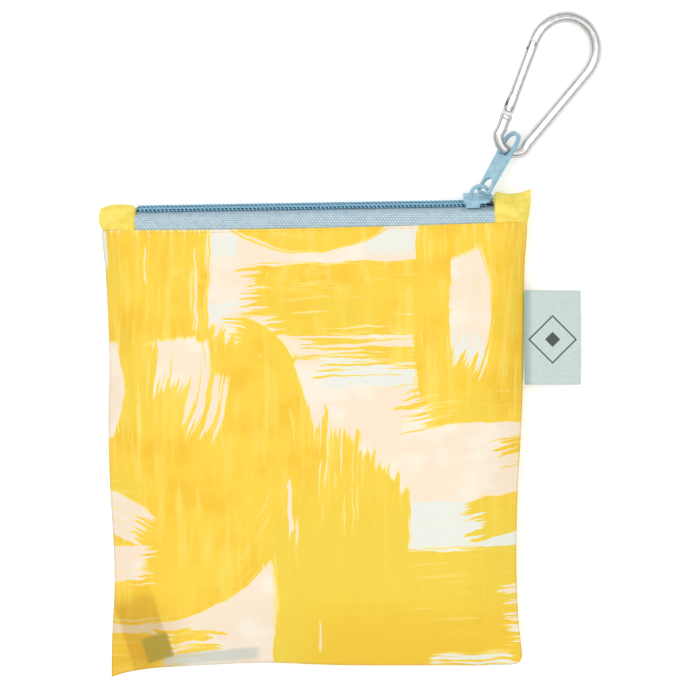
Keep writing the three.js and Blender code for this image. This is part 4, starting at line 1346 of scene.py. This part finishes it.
def add_gate_spring():
    turns, low, high, radius = 8, 4.4, 12.1, 0.66
    steps = 14
    points = []
    for index in range(turns * steps + 1):
        place = on_ring(radius, 2 * math.pi * index / steps)
        points.append(Vector((place.x, mix(low, high, index / (turns * steps)), place.y)))
    spring = new_object("gate_spring", tube_mesh("gate_spring", points, 0.16, 8), STEEL)
    spring.data.transform(hook_matrix() @ IN_GATE)
    finish_piece(spring, "gate", "gate_spring")


def add_plunger():
    profile = ((1.5, 0.55), (1.62, 0.72), (2.2, 0.75), (3.9, 0.75), (4.1, 0.6))
    plunger = new_object("plunger", turned_mesh("plunger", profile, 20), STEEL)
    finish_gate_piece(plunger, "gate_plunger")


add_hook()
add_gate()
add_pin("pivot_pin", "gate_pivot_pin", 0, ROD, 0.58)
add_pin("latch_pin", "gate_latch_pin", GATE_LENGTH - LATCH_BELOW, 1.6, 0.5)
add_gate_spring()
add_plunger()


# ---- Side label ----
def add_label():
    """A ribbon folded in half, both ends sewn into the side seam."""
    left = LABEL_LOW[0]
    middle = (LABEL_LOW[2] + LABEL_HIGH[2]) / 2
    half = 0.37 * MM
    reach = LABEL_HIGH[0] - left - half
    fold = 0.03

    def point(u, v):
        y = mix(LABEL_LOW[1], LABEL_HIGH[1], v)
        run = mix(-1, 1, u)
        bow = 0.1 * MM * math.sin(math.pi * clamp(abs(run) / 0.985))
        if abs(run) < fold:
            angle = run / fold * math.pi / 2
            x, z = left + reach + half * math.cos(angle), half * math.sin(angle)
        else:
            x = left + reach * (1 - (abs(run) - fold) / (1 - fold))
            z = math.copysign(half + bow, run)
        out = (x - left) / reach
        lift = 0.5 * out * noise.noise(Vector((x * 60, y * 45, 0))) * MM
        curl = 0.35 * MM * out ** 2 * math.sin(math.pi * (v * 1.3 + 0.1))
        return x, y, middle + z + lift + curl

    ribbon = new_object("side_label", grid_mesh("side_label", point, 140, 70), LABEL)
    finish_sheet(ribbon, 0.28 * MM, "label", "side_label")


add_label()


# ---- Folded bag ----
def fold_line(low, high, runs, pitch, shift, steps=8):
    """Points of a cloth folded to and fro between low and high, as (across, height)."""
    points = []
    reach = pitch / 2
    for run in range(runs):
        forward = run % 2 == 0
        side = 1 if forward else -1
        height = run * pitch + side * shift
        begin, finish = (low + reach, high - reach) if forward else (high - reach, low + reach)
        points += [(mix(begin, finish, k / 14), height) for k in range(15)]
        if run < runs - 1:
            bend = reach - side * shift
            turn = arc(finish, run * pitch + reach, bend, -math.pi / 2, math.pi / 2, steps)
            points += [(finish + side * (x - finish), z) for x, z in turn[1:-1]]
    return points


def line_place(points, t):
    place = clamp(t) * (len(points) - 1)
    index = min(int(place), len(points) - 2)
    rest = place - index
    return tuple(mix(a, b, rest) for a, b in zip(points[index], points[index + 1]))


def folded_panel(name, node, shift):
    """A bag panel folded four times across and four times up, as one sheet."""
    across = fold_line(-51, 51, 4, 0.5, shift / 4, 4)
    upward = fold_line(-57, 50, 4, 2.1, 0)
    columns, rows = ((len(across) * 2, len(upward) * 2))

    def point(u, v):
        x, layer = line_place(across, u)
        y, height = line_place(upward, v)
        before, ahead = line_place(upward, v - 0.002), line_place(upward, v + 0.002)
        dy, dz = ahead[0] - before[0], ahead[1] - before[1]
        size = math.hypot(dy, dz) or 1
        off = layer - 0.75
        ruffle = 0.12 * noise.noise(Vector((x * 0.08, y * 0.08, v * 3 + shift)))
        z = 2.05 + height + dy / size * off + ruffle + shift * 0.4
        return x * MM, (y - dz / size * off) * MM, z * MM

    panel = new_object(name, grid_mesh(name, point, columns, rows), PRINT_BACK)
    finish_sheet(panel, 0.14 * MM, "pouch", node)


def folded_handle(name, node, centre):
    """A handle strap folded to and fro on top of the bag."""
    runs, half_width = 3, 13
    line = fold_line(-42, 44, runs, 0.5, 0)

    def point(u, v):
        y, height = line_place(line, v)
        sway = 0.8 * math.sin(y * 0.05)
        return (centre + half_width * (2 * u - 1) + sway) * MM, y * MM, (9.3 + height) * MM

    handle = new_object(name, grid_mesh(name, point, 20, len(line) * 2), PRINT_BACK)
    finish_sheet(handle, 0.3 * MM, "pouch", node)


def add_care_label():
    """A small satin tag that lies a little under the pouch's front."""
    centre = Vector(CARE_MIDDLE) - Vector((0, 0, 0.9))
    turn = Matrix.Rotation(CARE_TURN, 3, "Z") @ Matrix.Rotation(math.radians(-5), 3, "Y")
    turn = turn @ Matrix.Rotation(math.radians(7), 3, "X")

    def point(u, v):
        return (centre + turn @ Vector((mix(-4, 4, u), mix(-3.8, 3.8, v), 0.35 * math.sin(math.pi * u)))) * MM

    tag = new_object("care_label", grid_mesh("care_label", point, 24, 24), CARE)
    thicken(tag, 0.2 * MM)
    finish_piece(tag, "pouch", "tote_care_label")


folded_panel("tote_front", "tote_front_panel", 0.4)
folded_panel("tote_back", "tote_back_panel", -0.4)
folded_handle("handle_front", "tote_handle_front", -22)
folded_handle("handle_back", "tote_handle_back", 22)
add_care_label()
